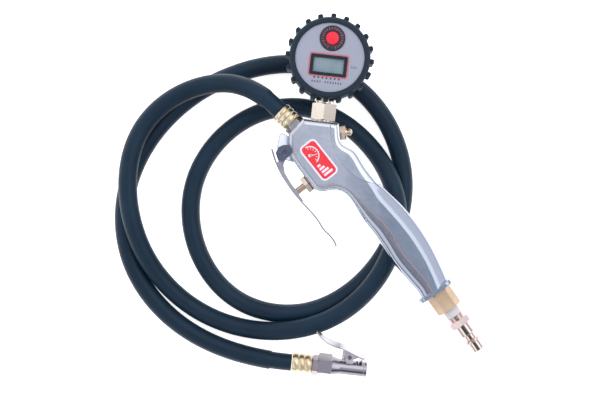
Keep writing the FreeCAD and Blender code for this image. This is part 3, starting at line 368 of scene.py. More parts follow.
def make_metals():
    # painted reflection tone: the casting darkens from x 30 to 66 mm, towards the handle
    metal("polished_casting", rgb(212, 217, 228), rough=0.17, dark=rgb(202, 208, 219),
          rough_spread=0.03, grain=2600, grain_bump=0.015, blotch=30, swell=0.35,
          painted_reflection_tone=(rgb(172, 180, 194), 0.27, 30, 66))
    metal("polished_cover", rgb(221, 225, 233), rough=0.2, dark=rgb(210, 215, 225),
          rough_spread=0.03, grain=2600, grain_bump=0.03, blotch=30, swell=0.5)
    # painted dark reflection around the trigger pivot, on the lever ears
    metal("nickel_sheet", rgb(220, 215, 220), rough=0.2, dark=rgb(196, 190, 195),
          rough_spread=0.05, grain_bump=0.06, blotch=70, edge=rgb(250, 248, 250),
          painted_dark_reflection=((-9.316, 36.142), 7.0, 9.5, rgb(112, 120, 142)))
    metal("turned_steel", rgb(120, 126, 142), rough=0.22, dark=rgb(84, 90, 106),
          grain=1800, edge=rgb(206, 210, 220))
    metal("black_oxide", rgb(52, 52, 56), rough=0.4, rough_spread=0.1, grain=1800,
          edge=rgb(120, 120, 125))
    metal("nickel_washed_brass", rgb(244, 228, 210), rough=0.22, dark=rgb(222, 200, 180),
          grain_bump=0.08, blotch=90, edge=rgb(254, 248, 238))
    plastic("tan_fibre", rgb(142, 104, 86), rough=0.75, grain=900, grain_bump=0.4)
    metal("plunger_steel", rgb(234, 208, 186), rough=0.14, dark=rgb(204, 174, 152),
          rough_spread=0.05, edge=rgb(246, 232, 216))
    metal("pale_brass", rgb(255, 246, 232), rough=0.2, dark=rgb(246, 230, 208),
          rough_spread=0.04, grain=1800, grain_bump=0.05, edge=rgb(255, 252, 244))
    metal("bleed_brass", rgb(240, 218, 194), rough=0.18, dark=rgb(214, 188, 160),
          grain=1400, edge=rgb(252, 240, 222))
    metal("satin_brass", rgb(214, 188, 160), rough=0.5, dark=rgb(198, 170, 140),
          grain=1400, grain_bump=0.3, blotch=90, edge=rgb(232, 212, 188), metallic=0.45)
    # the plug's pale and dark bands by view angle are painted reflections
    metal("zinc_passivated", rgb(228, 208, 206), rough=0.13, rough_spread=0.04,
          grain=1800, grain_bump=0.04, blotch=90,
          facing=[(0.0, rgb(176, 180, 194)), (0.0028, rgb(170, 174, 188)),
                  (0.006, rgb(92, 88, 84)), (0.036, rgb(84, 80, 76)),
                  (0.055, rgb(236, 236, 214)), (0.12, rgb(240, 220, 214)),
                  (0.28, rgb(226, 194, 192)), (1.0, rgb(210, 178, 178))])
    metal("plated_nut", rgb(204, 198, 202), rough=0.2, dark=rgb(160, 154, 158),
          rough_spread=0.08, edge=rgb(236, 232, 236))
    metal("crimped_brass_pale", rgb(255, 244, 216), rough=0.3, dark=rgb(228, 204, 160),
          grain=1600, blotch=150)
    metal("crimped_brass_gold", rgb(250, 234, 200), rough=0.32, dark=rgb(218, 190, 144),
          grain=1600, blotch=150)
    # the chuck's light and dark bands by the side a face turns to are painted reflections
    metal("nickel_plate", rgb(186, 182, 190), rough=0.2, rough_spread=0.05,
          grain_bump=0.25, blotch=120, edge=rgb(236, 232, 238),
          painted_side_reflections=((0.104, 0.995, 0.0),
                 [(0.0, rgb(196, 186, 188)), (0.1, rgb(255, 250, 250)),
                  (0.29, rgb(255, 248, 250)), (0.33, rgb(84, 88, 98)),
                  (0.40, rgb(96, 98, 108)), (0.47, rgb(186, 182, 190)),
                  (1.0, rgb(178, 170, 174))]))
    metal("clip_plate", rgb(236, 230, 236), rough=0.18, dark=rgb(206, 200, 208),
          rough_spread=0.05, blotch=110, edge=rgb(252, 248, 252))
    metal("spring_wire", rgb(170, 170, 176), rough=0.25, rough_spread=0.1)


def make_plastics():
    plastic("boot_rubber", rgb(27, 42, 56), rough=0.55, rough_spread=0.05, grain=3200,
            grain_bump=0.15, vary=0.06, dust=0.02, edge=rgb(40, 56, 70), specular=0.3)
    plastic("face_lacquer", rgb(158, 162, 178), rough=0.34, rough_spread=0.04, grain=5200,
            vary=0.025, coat=0.15)
    plastic("display_bezel", rgb(20, 27, 34), rough=0.22, rough_spread=0.04, grain=3000,
            grain_bump=0.04, edge=rgb(70, 80, 90))
    plastic("red_print", rgb(214, 96, 108), vary=0.06)
    plastic("lcd_cell", rgb(112, 136, 147), rough=0.3, rough_spread=0.03, grain=4500,
            grain_bump=0.05, vary=0.04)
    plastic("button_ring", rgb(40, 45, 56), rough=0.42, grain=2600, grain_bump=0.2,
            edge=rgb(70, 78, 90))
    plastic("red_silicone", rgb(238, 40, 62), rough=0.42, rough_spread=0.05, grain=2600,
            vary=0.05)
    plastic("case_plastic", rgb(34, 36, 40), rough=0.5, grain=2200, grain_bump=0.35,
            edge=rgb(70, 72, 76))
    plastic("seal_rubber", rgb(24, 24, 26), rough=0.6, grain=2200, grain_bump=0.3)
    plastic("solder_mask", rgb(24, 84, 48), rough=0.35, grain=1500)
    plastic("diffuser", rgb(228, 230, 232), rough=0.5, grain=1500)
    plastic("cell_sleeve", rgb(60, 84, 120), rough=0.3, grain=900, coat=0.4)
    plastic("badge_enamel", rgb(240, 232, 242), rough=0.25, vary=0.02, grain=1800,
            grain_bump=0.05, coat=0.3)
    plastic("badge_red_enamel", rgb(236, 52, 62), rough=0.25, vary=0.05, grain=1800,
            grain_bump=0.05, coat=0.3)
    plastic("panel_ink", rgb(58, 62, 74), rough=0.45, vary=0.1)
    plastic("panel_ink_soft", rgb(92, 96, 108), rough=0.45, vary=0.1)
    plastic("ring_ink", rgb(196, 84, 96), rough=0.45, vary=0.1)


make_metals()
make_plastics()
hose_rubber()
thread_tape()
clear_lens()

# ---------------------------------------------------------------- CAD pieces
# node: (finish, bevel width in mm, angle in degrees above which edges stay crisp)
CAD_FINISH = {
    "cover_screws": ("black_oxide", 0.12, 30), "badge_plate": ("badge_enamel", 0.12, 30),
    "badge_inlay": ("badge_red_enamel", 0.04, 30), "trigger_lever": ("nickel_sheet", 0.22, 40),
    "trigger_pin": ("turned_steel", 0.12, 35), "valve_bonnet": ("nickel_washed_brass", 0.18, 30),
    "bonnet_washer": ("tan_fibre", 0.08, 30), "valve_plunger": ("plunger_steel", 0.0, 50),
    "plunger_seal": ("seal_rubber", 0.1, 30), "valve_poppet": ("seal_rubber", 0.0, 40),
    "valve_spring": ("spring_wire", 0.0, 60), "gauge_connector": ("pale_brass", 0.3, 30),
    "bleed_body": ("bleed_brass", 0.25, 30), "bleed_button": ("bleed_brass", 0.0, 60),
    "bleed_spring": ("spring_wire", 0.0, 60), "inlet_bushing": ("satin_brass", 0.3, 30),
    "thread_tape": ("ptfe_tape", 0.05, 40), "inlet_plug": ("zinc_passivated", 0.12, 30),
    "gun_hose_nipple": ("plated_nut", 0.2, 30), "chuck_hose_nipple": ("plated_nut", 0.2, 30),
    "chuck_body": ("nickel_plate", 0.2, 30), "gun_ferrule": ("crimped_brass_pale", 0.0, 50),
    "chuck_ferrule": ("crimped_brass_gold", 0.0, 50), "chuck_clip": ("clip_plate", 0.15, 35),
    "chuck_clip_pin": ("turned_steel", 0.1, 35), "chuck_spring": ("spring_wire", 0.0, 60),
    "chuck_seal": ("seal_rubber", 0.1, 30), "core_depressor": ("satin_brass", 0.1, 30),
    "gauge_boot": ("boot_rubber", 0.14, 32), "gauge_case": ("case_plastic", 0.2, 30),
    "face_panel": ("face_lacquer", 0.1, 30), "lcd_frame": ("display_bezel", 0.18, 30),
    "display_outline": ("red_print", 0.03, 30), "lcd_glass": ("lens_clear", 0.05, 30),
    "lcd_panel": ("lcd_cell", 0.1, 30), "lcd_backlight": ("diffuser", 0.1, 30),
    "circuit_board": ("solder_mask", 0.1, 30), "button_ring": ("button_ring", 0.0, 50),
    "power_button": ("red_silicone", 0.0, 50), "tact_switch": ("case_plastic", 0.1, 30),
    "pressure_sensor": ("turned_steel", 0.1, 30), "sensor_seal": ("seal_rubber", 0.1, 30),
    "battery_cells": ("cell_sleeve", 0.1, 30), "battery_contacts": ("turned_steel", 0.05, 30),
    "battery_cover": ("case_plastic", 0.25, 30), "body_casting": ("polished_casting", 0.0, 30),
    "rear_cover": ("polished_cover", 0.0, 30), "hose": ("hose_cover", 0.0, 60),
}


def smooth(obj):
    obj.data.polygons.foreach_set("use_smooth", [True] * len(obj.data.polygons))


def crisp(obj, degrees, weighted=True):
    """Smooth shading that stays sharp where faces meet at more than degrees."""
    smooth(obj)
    obj.modifiers.new("crisp", "EDGE_SPLIT").split_angle = math.radians(degrees)
    if weighted:
        obj.modifiers.new("even", "WEIGHTED_NORMAL").keep_sharp = True


def paint(obj, finish):
    obj.data.materials.clear()
    obj.data.materials.append(FINISHES[finish])


def finish_cad():
    for node, (finish, bevel_width, split) in CAD_FINISH.items():
        obj = NODES[node]
        paint(obj, finish)
        obj.modifiers.new("weld", "WELD").merge_threshold = 2e-6
        if bevel_width:
            bevel = obj.modifiers.new("soft_edge", "BEVEL")
            bevel.width = bevel_width * MM
            bevel.segments = 2
            bevel.limit_method = "ANGLE"
            bevel.angle_limit = math.radians(32)
            bevel.harden_normals = False
            bevel.miter_outer = "MITER_ARC"
            bevel.use_clamp_overlap = True
        crisp(obj, split)


finish_cad()


# ---------------------------------------------------------------- mesh helpers
def read_rows(text):
    """Rows split by commas; a short row takes its missing last columns from the row before."""
    rows = []
    for row in text.split(","):
        values = [float(v) for v in row.split()]
        if rows:
            values += rows[-1][len(values):]
        rows.append(values)
    return rows


def solid(name, verts, faces):
    """A linked mesh object from points in metres, its normals facing out."""
    mesh = bpy.data.meshes.new(name)
    mesh.from_pydata([tuple(v) for v in verts], [], faces)
    mesh.update()
    bm = bmesh.new()
    bm.from_mesh(mesh)
    bmesh.ops.recalc_face_normals(bm, faces=bm.faces)
    bm.to_mesh(mesh)
    bm.free()
    obj = bpy.data.objects.new(name, mesh)
    bpy.context.scene.collection.objects.link(obj)
    return obj


def stack_faces(levels, count, first=0):
    """Caps and sides of rings of count points stacked on one another."""
    top = first + (levels - 1) * count
    faces = [tuple(reversed(range(first, first + count))), tuple(range(top, top + count))]
    for level in range(levels - 1):
        low = first + level * count
        high = low + count
        for i in range(count):
            j = (i + 1) % count
            faces.append((low + i, low + j, high + j, high + i))
    return faces


def loft(name, rings):
    verts = [v for ring in rings for v in ring]
    return solid(name, verts, stack_faces(len(rings), len(rings[0])))


def prism(name, outline, bottom, top):
    return loft(name, [[(x * MM, y * MM, z * MM) for x, y in outline] for z in (bottom, top)])


def rod(radius, start, end, base, along, segments=64):
    """Cylinder cutter from start to end, measured from base along a direction."""
    axis = Vector(along).normalized()
    side = axis.orthogonal().normalized()
    other = axis.cross(side)
    origin = Vector(base) * MM
    rings = []
    for h in (start, end):
        ring = []
        for k in range(segments):
            a = 2 * math.pi * k / segments
            around = side * math.cos(a) + other * math.sin(a)
            ring.append(origin + axis * h * MM + around * radius * MM)
        rings.append(ring)
    return loft("cutter", rings)


def carve(obj, cutter, operation="DIFFERENCE"):
    """Apply a boolean and delete the cutter."""
    boolean = obj.modifiers.new("carve", "BOOLEAN")
    boolean.operation = operation
    boolean.object = cutter
    boolean.solver = "MANIFOLD"
    graph = bpy.context.evaluated_depsgraph_get()
    mesh = bpy.data.meshes.new_from_object(obj.evaluated_get(graph))
    obj.modifiers.clear()
    old = obj.data
    obj.data = mesh
    bpy.data.meshes.remove(old)
    cutter_mesh = cutter.data
    bpy.data.objects.remove(cutter)
    bpy.data.meshes.remove(cutter_mesh)


def attach(obj, finish, node=None):
    """Paint a part and let it ride with the gun, in place of a CAD node if given."""
    paint(obj, finish)
    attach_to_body(obj, "gun")
    if node:
        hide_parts(node)


def spline(points, step):
    """Natural cubic spline resampled at even steps: the points and their arc lengths."""
    p = np.array(points, float)
    s = np.r_[0, np.cumsum(np.linalg.norm(np.diff(p, axis=0), axis=1))]
    n = len(s)
    h = np.diff(s)
    matrix = np.zeros((n, n))
    right = np.zeros((n, p.shape[1]))
    matrix[0, 0] = matrix[-1, -1] = 1
    for i in range(1, n - 1):
        matrix[i, i - 1:i + 2] = h[i - 1], 2 * (h[i - 1] + h[i]), h[i]
        right[i] = 6 * ((p[i + 1] - p[i]) / h[i] - (p[i] - p[i - 1]) / h[i - 1])
    bend = np.linalg.solve(matrix, right)
    u = np.linspace(0, s[-1], int(round(s[-1] / step)) + 1)
    k = np.clip(np.searchsorted(s, u, side="right") - 1, 0, n - 2)
    a = (s[k + 1] - u)[:, None]
    b = (u - s[k])[:, None]
    hk = h[k][:, None]
    out = ((bend[k] * a ** 3 + bend[k + 1] * b ** 3) / (6 * hk)
           + (p[k] / hk - bend[k] * hk / 6) * a + (p[k + 1] / hk - bend[k + 1] * hk / 6) * b)
    return out, u


def tangents(points):
    t = np.gradient(points, axis=0)
    return t / np.linalg.norm(t, axis=1)[:, None]


def box(width, height):
    x, y = width / 2, height / 2
    return [(-x, -y), (x, -y), (x, y), (-x, y)]


def circle(centre, radius, count):
    return [(centre[0] + radius * math.cos(a), centre[1] + radius * math.sin(a))
            for a in np.linspace(0, 2 * math.pi, count + 1)[:-1]]


def rounded_rect(width, height, radius, segments=10):
    x, y = width / 2 - radius, height / 2 - radius
    out = []
    for cx, cy, start in ((x, y, 0), (-x, y, 90), (-x, -y, 180), (x, -y, 270)):
        for k in range(segments + 1):
            a = math.radians(start + 90.0 * k / segments)
            out.append((cx + radius * math.cos(a), cy + radius * math.sin(a)))
    return out


def turned(outline, degrees, centre):
    """The outline turned about its origin, then moved to centre."""
    c, s = math.cos(math.radians(degrees)), math.sin(math.radians(degrees))
    return [(centre[0] + x * c - y * s, centre[1] + x * s + y * c) for x, y in outline]


# ---------------------------------------------------------------- casting and rear cover
# Stations round the gun, mm: outline x y, inner ridge x y, slope of the shoulder band (deg),
# share of the band that is rounded, height of the rounding.
SKIN = read_rows("""
-5.566 49.267 -2.182 47.305 9.00 0.800 3.90, -4.948 49.916 -1.692 47.819,
-4.331 50.564 -1.202 48.334, -3.713 51.213 -0.712 48.849, -3.095 51.861 -0.221 49.364,
-2.478 52.510 0.269 49.878, -1.860 53.158 0.759 50.393, -1.242 53.807 1.249 50.908,
-0.625 54.455 1.739 51.422, -0.007 55.104 2.230 51.937, 0.610 55.752 2.720 52.452,
1.228 56.401 3.210 52.967, 1.846 57.049 3.700 53.481, 2.463 57.698 4.190 53.996,
3.081 58.346 4.681 54.511, 3.699 58.995 5.171 55.025, 4.316 59.643 5.661 55.540,
4.934 60.292 6.151 56.055, 5.824 60.172 6.757 55.973, 6.714 60.053 7.369 55.890,
7.604 59.933 7.992 55.806, 8.494 59.814 8.633 55.720, 9.384 59.696 9.296 55.632,
10.274 59.578 9.988 55.540, 11.164 59.460 10.714 55.445, 12.054 59.344 11.480 55.346,
12.945 59.228 12.287 55.242, 13.835 59.114 13.130 55.135, 14.726 59.002 14.004 55.025,
15.617 58.892 14.905 54.915, 16.509 58.786 15.826 54.804, 17.401 58.682 16.764 54.693,
18.293 58.582 17.713 54.585, 19.186 58.487 18.668 54.479, 20.079 58.393 19.619 54.376,
20.973 58.301 20.555 54.275, 21.866 58.208 21.467 54.177, 22.758 58.111 22.344 54.082,
23.650 58.009 23.176 53.989, 24.542 57.901 23.951 53.898, 25.431 57.783 24.659 53.809,
26.320 57.656 25.297 53.723, 27.207 57.521 25.873 53.638, 28.094 57.379 26.399 53.554,
28.980 57.231 26.884 53.471, 29.865 57.078 27.338 53.389, 30.749 56.923 27.771 53.308,
31.634 56.767 28.195 53.227, 31.723 55.870 28.235 52.905, 31.810 54.973 28.276 52.561,
31.892 54.077 28.315 52.174, 31.968 53.181 28.352 51.724, 32.035 52.285 28.388 51.187,
32.091 51.390 28.421 50.544, 32.137 50.496 28.453 49.782, 32.183 49.601 28.490 48.909,
32.238 48.705 28.540 47.938, 32.314 47.808 28.611 46.884, 32.420 46.907 28.709 45.758,
32.569 46.005 28.845 44.574, 32.779 45.114 29.051 43.359, 33.070 44.257 29.374 42.142,
33.466 43.455 29.861 40.956, 33.986 42.730 30.551 39.830, 34.615 42.083 31.406 38.792,
35.324 41.509 32.353 37.863, 36.084 41.002 33.318 37.068, 36.870 40.553 34.239 36.419,
37.670 40.144 35.104 35.889, 38.478 39.755 35.912 35.441, 39.288 39.365 36.660 35.039,
40.090 38.954 37.348 34.651, 40.879 38.514 37.980 34.261, 41.648 38.040 38.561 33.862,
42.389 37.526 39.097 33.450, 43.094 36.969 39.594 33.017, 43.759 36.364 40.057 32.557,
44.383 35.715 40.493 32.067, 44.970 35.029 40.907 31.543, 45.523 34.314 41.304 30.984,
46.044 33.575 41.691 30.386, 46.538 32.820 42.074 29.747, 47.009 32.052 42.456 29.069,
47.463 31.277 42.841 28.357, 47.908 30.495 43.234 27.616, 48.350 29.712 43.637 26.851,
48.794 28.931 44.056 26.067, 49.246 28.153 44.492 25.270, 49.707 27.380 44.943 24.461,
50.177 26.613 45.408 23.647, 50.657 25.852 45.886 22.831, 51.147 25.098 46.375 22.018,
51.648 24.350 46.873 21.209, 52.159 23.610 47.380 20.408, 52.680 22.877 47.896 19.613,
53.210 22.149 48.420 18.825, 53.747 21.428 48.951 18.045, 54.291 20.711 49.490 17.273,
54.842 20.000 50.037 16.509, 55.398 19.293 50.592 15.753, 55.959 18.591 51.157 15.003,
56.526 17.892 51.731 14.260, 57.098 17.197 52.318 13.522,
57.673 16.505 52.916 12.789 9.63 0.781 3.87, 58.254 15.817 53.526 12.059 11.14 0.736 3.79,
58.841 15.134 54.143 11.331 12.65 0.690 3.72, 59.436 14.459 54.762 10.604 14.16 0.645 3.64,
60.040 13.792 55.380 9.874 15.68 0.600 3.57, 60.655 13.136 55.993 9.141 17.19 0.554 3.49,
61.283 12.493 56.595 8.402 18.70 0.509 3.41, 61.925 11.863 57.184 7.657 19.91 0.466 3.33,
62.578 11.246 57.760 6.906 21.05 0.423 3.25, 63.240 10.637 58.325 6.153 22.19 0.380 3.16,
63.908 10.034 58.881 5.402 23.33 0.338 3.08, 64.578 9.433 59.432 4.655 24.47 0.295 2.99,
65.247 8.832 59.979 3.916 25.61 0.252 2.90, 65.913 8.226 60.525 3.188 26.75 0.209 2.82,
66.572 7.614 61.072 2.473 27.00 0.200 2.80, 67.225 6.995 61.621 1.772,
67.872 6.371 62.174 1.082, 68.517 5.744 62.732 0.401, 69.160 5.115 63.296 -0.271,
69.804 4.486 63.867 -0.939, 70.449 3.860 64.445 -1.602, 71.097 3.236 65.031 -2.262,
71.747 2.614 65.622 -2.919, 72.397 1.992 66.214 -3.572, 73.047 1.370 66.804 -4.222,
73.696 0.747 67.390 -4.868, 74.342 0.122 67.968 -5.509, 74.986 -0.507 68.537 -6.145,
75.626 -1.139 69.101 -6.779, 76.262 -1.775 69.658 -7.408, 76.893 -2.416 70.211 -8.036,
77.519 -3.061 70.761 -8.661, 78.140 -3.713 71.309 -9.285, 78.755 -4.369 71.856 -9.908,
79.364 -5.031 72.403 -10.530, 79.968 -5.698 72.951 -11.151, 80.567 -6.369 73.500 -11.772,
81.161 -7.044 74.052 -12.392, 81.751 -7.724 74.607 -13.012, 82.336 -8.407 75.164 -13.633,
82.917 -9.094 75.722 -14.255, 83.494 -9.784 76.279 -14.881, 84.066 -10.478 76.834 -15.511,
84.634 -11.175 77.384 -16.147, 85.198 -11.876 77.927 -16.790, 85.758 -12.580 78.463 -17.441,
86.313 -13.288 78.993 -18.098, 86.865 -13.998 79.518 -18.761, 87.413 -14.712 80.038 -19.427,
87.957 -15.428 80.557 -20.096, 88.497 -16.147 81.075 -20.765, 89.035 -16.869 81.593 -21.435,
89.569 -17.593 82.113 -22.102, 90.099 -18.319 82.634 -22.769, 90.626 -19.048 83.154 -23.437,
91.149 -19.780 83.672 -24.105, 91.668 -20.515 84.188 -24.775, 92.182 -21.253 84.700 -25.447,
92.692 -21.994 85.208 -26.123, 93.196 -22.739 85.710 -26.803, 93.697 -23.486 86.206 -27.487,
94.192 -24.237 86.697 -28.175, 94.683 -24.991 87.182 -28.867, 95.169 -25.747 87.663 -29.562,
95.652 -26.507 88.138 -30.261, 96.130 -27.269 88.609 -30.963, 96.604 -28.033 89.075 -31.668,
97.074 -28.800 89.538 -32.377, 97.540 -29.570 89.996 -33.088, 98.002 -30.342 90.451 -33.801,
98.460 -31.116 90.902 -34.517, 98.913 -31.893 91.351 -35.234, 99.361 -32.673 91.798 -35.953,
99.805 -33.456 92.243 -36.673, 100.244 -34.241 92.686 -37.394, 100.678 -35.029 93.128 -38.116,
101.107 -35.819 93.568 -38.839, 101.531 -36.613 94.005 -39.565,
101.950 -37.409 94.440 -40.294, 102.365 -38.207 94.871 -41.028,
102.775 -39.008 95.298 -41.767, 103.181 -39.811 95.721 -42.512,
103.582 -40.616 96.138 -43.264, 103.978 -41.423 96.549 -44.025,
104.370 -42.233 96.955 -44.793, 104.759 -43.044 97.354 -45.568,
105.144 -43.857 97.747 -46.348, 105.526 -44.671 98.135 -47.132,
105.905 -45.487 98.517 -47.918, 106.283 -46.303 98.893 -48.704,
106.659 -47.120 99.264 -49.489, 107.034 -47.938 99.630 -50.270,
107.408 -48.756 99.991 -51.046, 107.783 -49.574 100.347 -51.816,
108.157 -50.392 100.698 -52.580, 108.531 -51.210 101.047 -53.341,
108.903 -52.030 101.393 -54.105, 109.272 -52.850 101.739 -54.877,
109.637 -53.672 102.086 -55.659, 109.998 -54.496 102.435 -56.458,
110.353 -55.322 102.788 -57.278, 110.702 -56.151 103.145 -58.123,
111.044 -56.983 103.509 -58.996, 111.379 -57.817 103.878 -59.894,
111.709 -58.654 104.251 -60.815, 112.035 -59.492 104.628 -61.754,
112.356 -60.332 105.009 -62.707, 112.675 -61.174 105.392 -63.672,
112.993 -62.016 105.776 -64.644, 113.309 -62.858 106.161 -65.619,
112.529 -63.323 105.955 -65.742 26.22 0.214 2.90, 111.749 -63.788 105.750 -65.864 25.44 0.229 2.99,
110.969 -64.253 105.544 -65.987 24.66 0.243 3.09, 110.189 -64.718 105.339 -66.109 23.88 0.258 3.18,
109.409 -65.183 105.133 -66.232 23.10 0.272 3.28, 108.629 -65.648 104.928 -66.355 22.32 0.286 3.38,
107.849 -66.113 104.722 -66.477 21.54 0.301 3.47, 107.069 -66.578 104.517 -66.600 20.76 0.315 3.57,
106.289 -67.043 104.311 -66.722 19.98 0.330 3.66, 105.509 -67.508 104.106 -66.845 19.20 0.344 3.76,
104.729 -67.973 103.900 -66.967 18.42 0.358 3.86, 103.949 -68.438 103.695 -67.090 17.64 0.373 3.95,
103.169 -68.903 103.489 -67.212 16.86 0.387 4.05, 102.389 -69.368 103.284 -67.335 16.08 0.402 4.14,
101.609 -69.833 103.078 -67.457 15.30 0.416 4.24, 100.829 -70.298 102.873 -67.580 14.52 0.430 4.34,
100.049 -70.763 102.667 -67.702 13.74 0.445 4.43, 99.269 -71.228 102.462 -67.825 12.96 0.459 4.53,
98.489 -71.693 102.256 -67.947 12.18 0.474 4.62, 97.709 -72.158 102.050 -68.070 11.40 0.488 4.72,
96.929 -72.623 101.845 -68.192 10.62 0.502 4.82, 96.149 -73.088 101.639 -68.315 9.84 0.517 4.91,
95.369 -73.553 101.434 -68.437 9.06 0.531 5.01, 94.589 -74.018 101.228 -68.560 8.28 0.546 5.10,
93.809 -74.483 101.023 -68.682 7.50 0.560 5.20, 93.422 -73.661 100.630 -67.791,
93.031 -72.842 100.231 -66.902, 92.630 -72.029 99.820 -66.016, 92.215 -71.226 99.391 -65.136,
91.782 -70.436 98.938 -64.264, 91.326 -69.662 98.456 -63.400, 90.841 -68.906 97.937 -62.548,
90.326 -68.172 97.379 -61.708, 89.782 -67.458 96.785 -60.881, 89.214 -66.760 96.163 -60.068,
88.627 -66.075 95.519 -59.268, 88.025 -65.401 94.862 -58.481, 87.412 -64.733 94.198 -57.708,
86.794 -64.070 93.535 -56.948, 86.174 -63.407 92.879 -56.201, 85.558 -62.742 92.239 -55.468,
84.949 -62.072 91.620 -54.749, 84.350 -61.396 91.025 -54.043, 83.758 -60.714 90.448 -53.348,
83.171 -60.029 89.882 -52.664, 82.587 -59.341 89.322 -51.990, 82.005 -58.654 88.761 -51.323,
81.420 -57.967 88.194 -50.663, 80.833 -57.283 87.615 -50.009, 80.243 -56.600 87.027 -49.360,
79.652 -55.918 86.436 -48.716, 79.061 -55.236 85.847 -48.077, 78.472 -54.553 85.262 -47.443,
77.884 -53.868 84.688 -46.814, 77.300 -53.179 84.129 -46.190, 76.720 -52.488 83.585 -45.569,
76.145 -51.792 83.056 -44.950, 75.576 -51.091 82.539 -44.331, 75.014 -50.385 82.034 -43.709,
74.460 -49.673 81.540 -43.083, 73.913 -48.955 81.054 -42.450, 73.375 -48.231 80.577 -41.809,
72.846 -47.500 80.107 -41.158, 72.325 -46.763 79.646 -40.497, 71.811 -46.021 79.193 -39.823,
71.305 -45.274 78.748 -39.135, 70.805 -44.522 78.313 -38.432, 70.312 -43.766 77.887 -37.714,
69.824 -43.006 77.470 -36.978, 69.341 -42.244 77.063 -36.223, 68.863 -41.478 76.663 -35.452,
68.387 -40.711 76.267 -34.668, 67.913 -39.943 75.872 -33.874, 67.439 -39.176 75.476 -33.072,
66.963 -38.409 75.076 -32.265, 66.485 -37.644 74.669 -31.455, 66.003 -36.881 74.252 -30.647,
65.516 -36.122 73.822 -29.842, 65.023 -35.367 73.379 -29.041, 64.525 -34.615 72.921 -28.245,
64.023 -33.865 72.450 -27.453, 63.518 -33.117 71.966 -26.663, 63.012 -32.371 71.468 -25.875,
62.504 -31.624 70.957 -25.089, 61.996 -30.878 70.434 -24.302, 61.490 -30.130 69.898 -23.516,
60.984 -29.382 69.351 -22.728, 60.478 -28.634 68.790 -21.944, 59.969 -27.887 68.217 -21.164,
59.456 -27.144 67.630 -20.393, 58.937 -26.406 67.029 -19.634, 58.409 -25.675 66.413 -18.889,
57.871 -24.952 65.783 -18.162, 57.320 -24.238 65.137 -17.456, 56.757 -23.534 64.477 -16.772,
56.183 -22.838 63.807 -16.108, 55.602 -22.147 63.133 -15.463, 55.018 -21.460 62.459 -14.835,
54.433 -20.772 61.791 -14.222, 53.850 -20.083 61.133 -13.621, 53.272 -19.388 60.490 -13.031,
52.703 -18.688 59.867 -12.450, 52.142 -17.980 59.259 -11.875, 51.591 -17.265 58.664 -11.307,
51.047 -16.544 58.076 -10.742, 50.513 -15.816 57.492 -10.179, 49.988 -15.082 56.908 -9.617,
49.473 -14.341 56.319 -9.055, 48.966 -13.594 55.721 -8.490,
48.469 -12.841 55.112 -7.921 7.50 0.563 5.18, 47.981 -12.082 54.489 -7.347 7.50 0.568 5.16,
47.500 -11.318 53.856 -6.766 7.50 0.572 5.14, 47.027 -10.550 53.213 -6.177 7.50 0.577 5.12,
46.558 -9.778 52.562 -5.578 7.50 0.581 5.09, 46.095 -9.004 51.905 -4.969 7.50 0.586 5.07,
45.635 -8.227 51.244 -4.348 7.50 0.591 5.05, 45.177 -7.450 50.579 -3.714 7.50 0.595 5.02,
44.721 -6.671 49.914 -3.065 7.50 0.600 5.00, 44.265 -5.893 49.248 -2.400 7.55 0.609 4.96,
43.807 -5.116 48.582 -1.722 7.61 0.618 4.91, 43.346 -4.341 47.912 -1.031 7.67 0.627 4.86,
42.878 -3.570 47.236 -0.332 7.73 0.637 4.82, 42.401 -2.805 46.553 0.376 7.79 0.646 4.77,
41.913 -2.045 45.860 1.088 7.85 0.655 4.72, 41.413 -1.293 45.155 1.803 7.90 0.665 4.68,
40.896 -0.550 44.437 2.519 7.96 0.674 4.63, 40.362 0.183 43.702 3.233 8.05 0.685 4.58,
39.809 0.903 42.949 3.944 8.18 0.698 4.53, 39.232 1.606 42.175 4.648 8.31 0.711 4.48,
38.631 2.286 41.377 5.344 8.44 0.724 4.43, 38.003 2.940 40.551 6.030 8.57 0.737 4.37,
37.346 3.563 39.696 6.703 8.70 0.750 4.32, 36.657 4.149 38.807 7.361 8.83 0.763 4.27,
35.934 4.694 37.882 8.002 8.96 0.776 4.22, 35.176 5.194 36.918 8.624 9.00 0.780 4.20,
34.383 5.643 35.917 9.219, 33.561 6.039 34.880 9.778, 32.715 6.379 33.812 10.293,
31.849 6.657 32.714 10.754, 30.969 6.871 31.592 11.151, 30.078 7.017 30.447 11.475,
29.181 7.096 29.289 11.721, 28.280 7.114 28.136 11.892, 27.375 7.079 27.007 11.986,
26.470 6.998 25.919 12.007, 25.565 6.878 24.891 11.956,
24.663 6.726 23.940 11.834 9.00 0.782 4.17, 23.764 6.555 23.068 11.657 9.00 0.785 4.12,
22.868 6.386 22.265 11.446 9.00 0.789 4.07, 21.975 6.236 21.520 11.227 9.00 0.792 4.02,
21.085 6.124 20.822 11.023 9.00 0.796 3.97, 20.199 6.069 20.161 10.858 9.00 0.799 3.92,
19.315 6.089 19.527 10.754 9.00 0.800 3.90, 18.434 6.184 18.913 10.714,
17.556 6.342 18.316 10.728, 16.679 6.553 17.735 10.788, 15.804 6.807 17.165 10.885,
14.930 7.093 16.604 11.009, 14.057 7.399 16.048 11.151, 13.184 7.717 15.496 11.302,
12.648 8.435 15.004 11.909, 12.113 9.153 14.512 12.515, 11.577 9.871 14.020 13.121,
11.041 10.588 13.528 13.727, 10.505 11.306 13.036 14.334, 9.970 12.024 12.544 14.940,
9.434 12.742 12.052 15.546, 8.898 13.460 11.559 16.153, 8.363 14.178 11.067 16.759,
7.827 14.896 10.575 17.365, 7.291 15.613 10.083 17.971, 6.755 16.331 9.591 18.578,
6.220 17.049 9.099 19.184, 5.684 17.767 8.607 19.790, 5.132 18.469 8.071 20.481,
4.581 19.173 7.536 21.173, 4.032 19.877 7.003 21.864, 3.487 20.584 6.471 22.556,
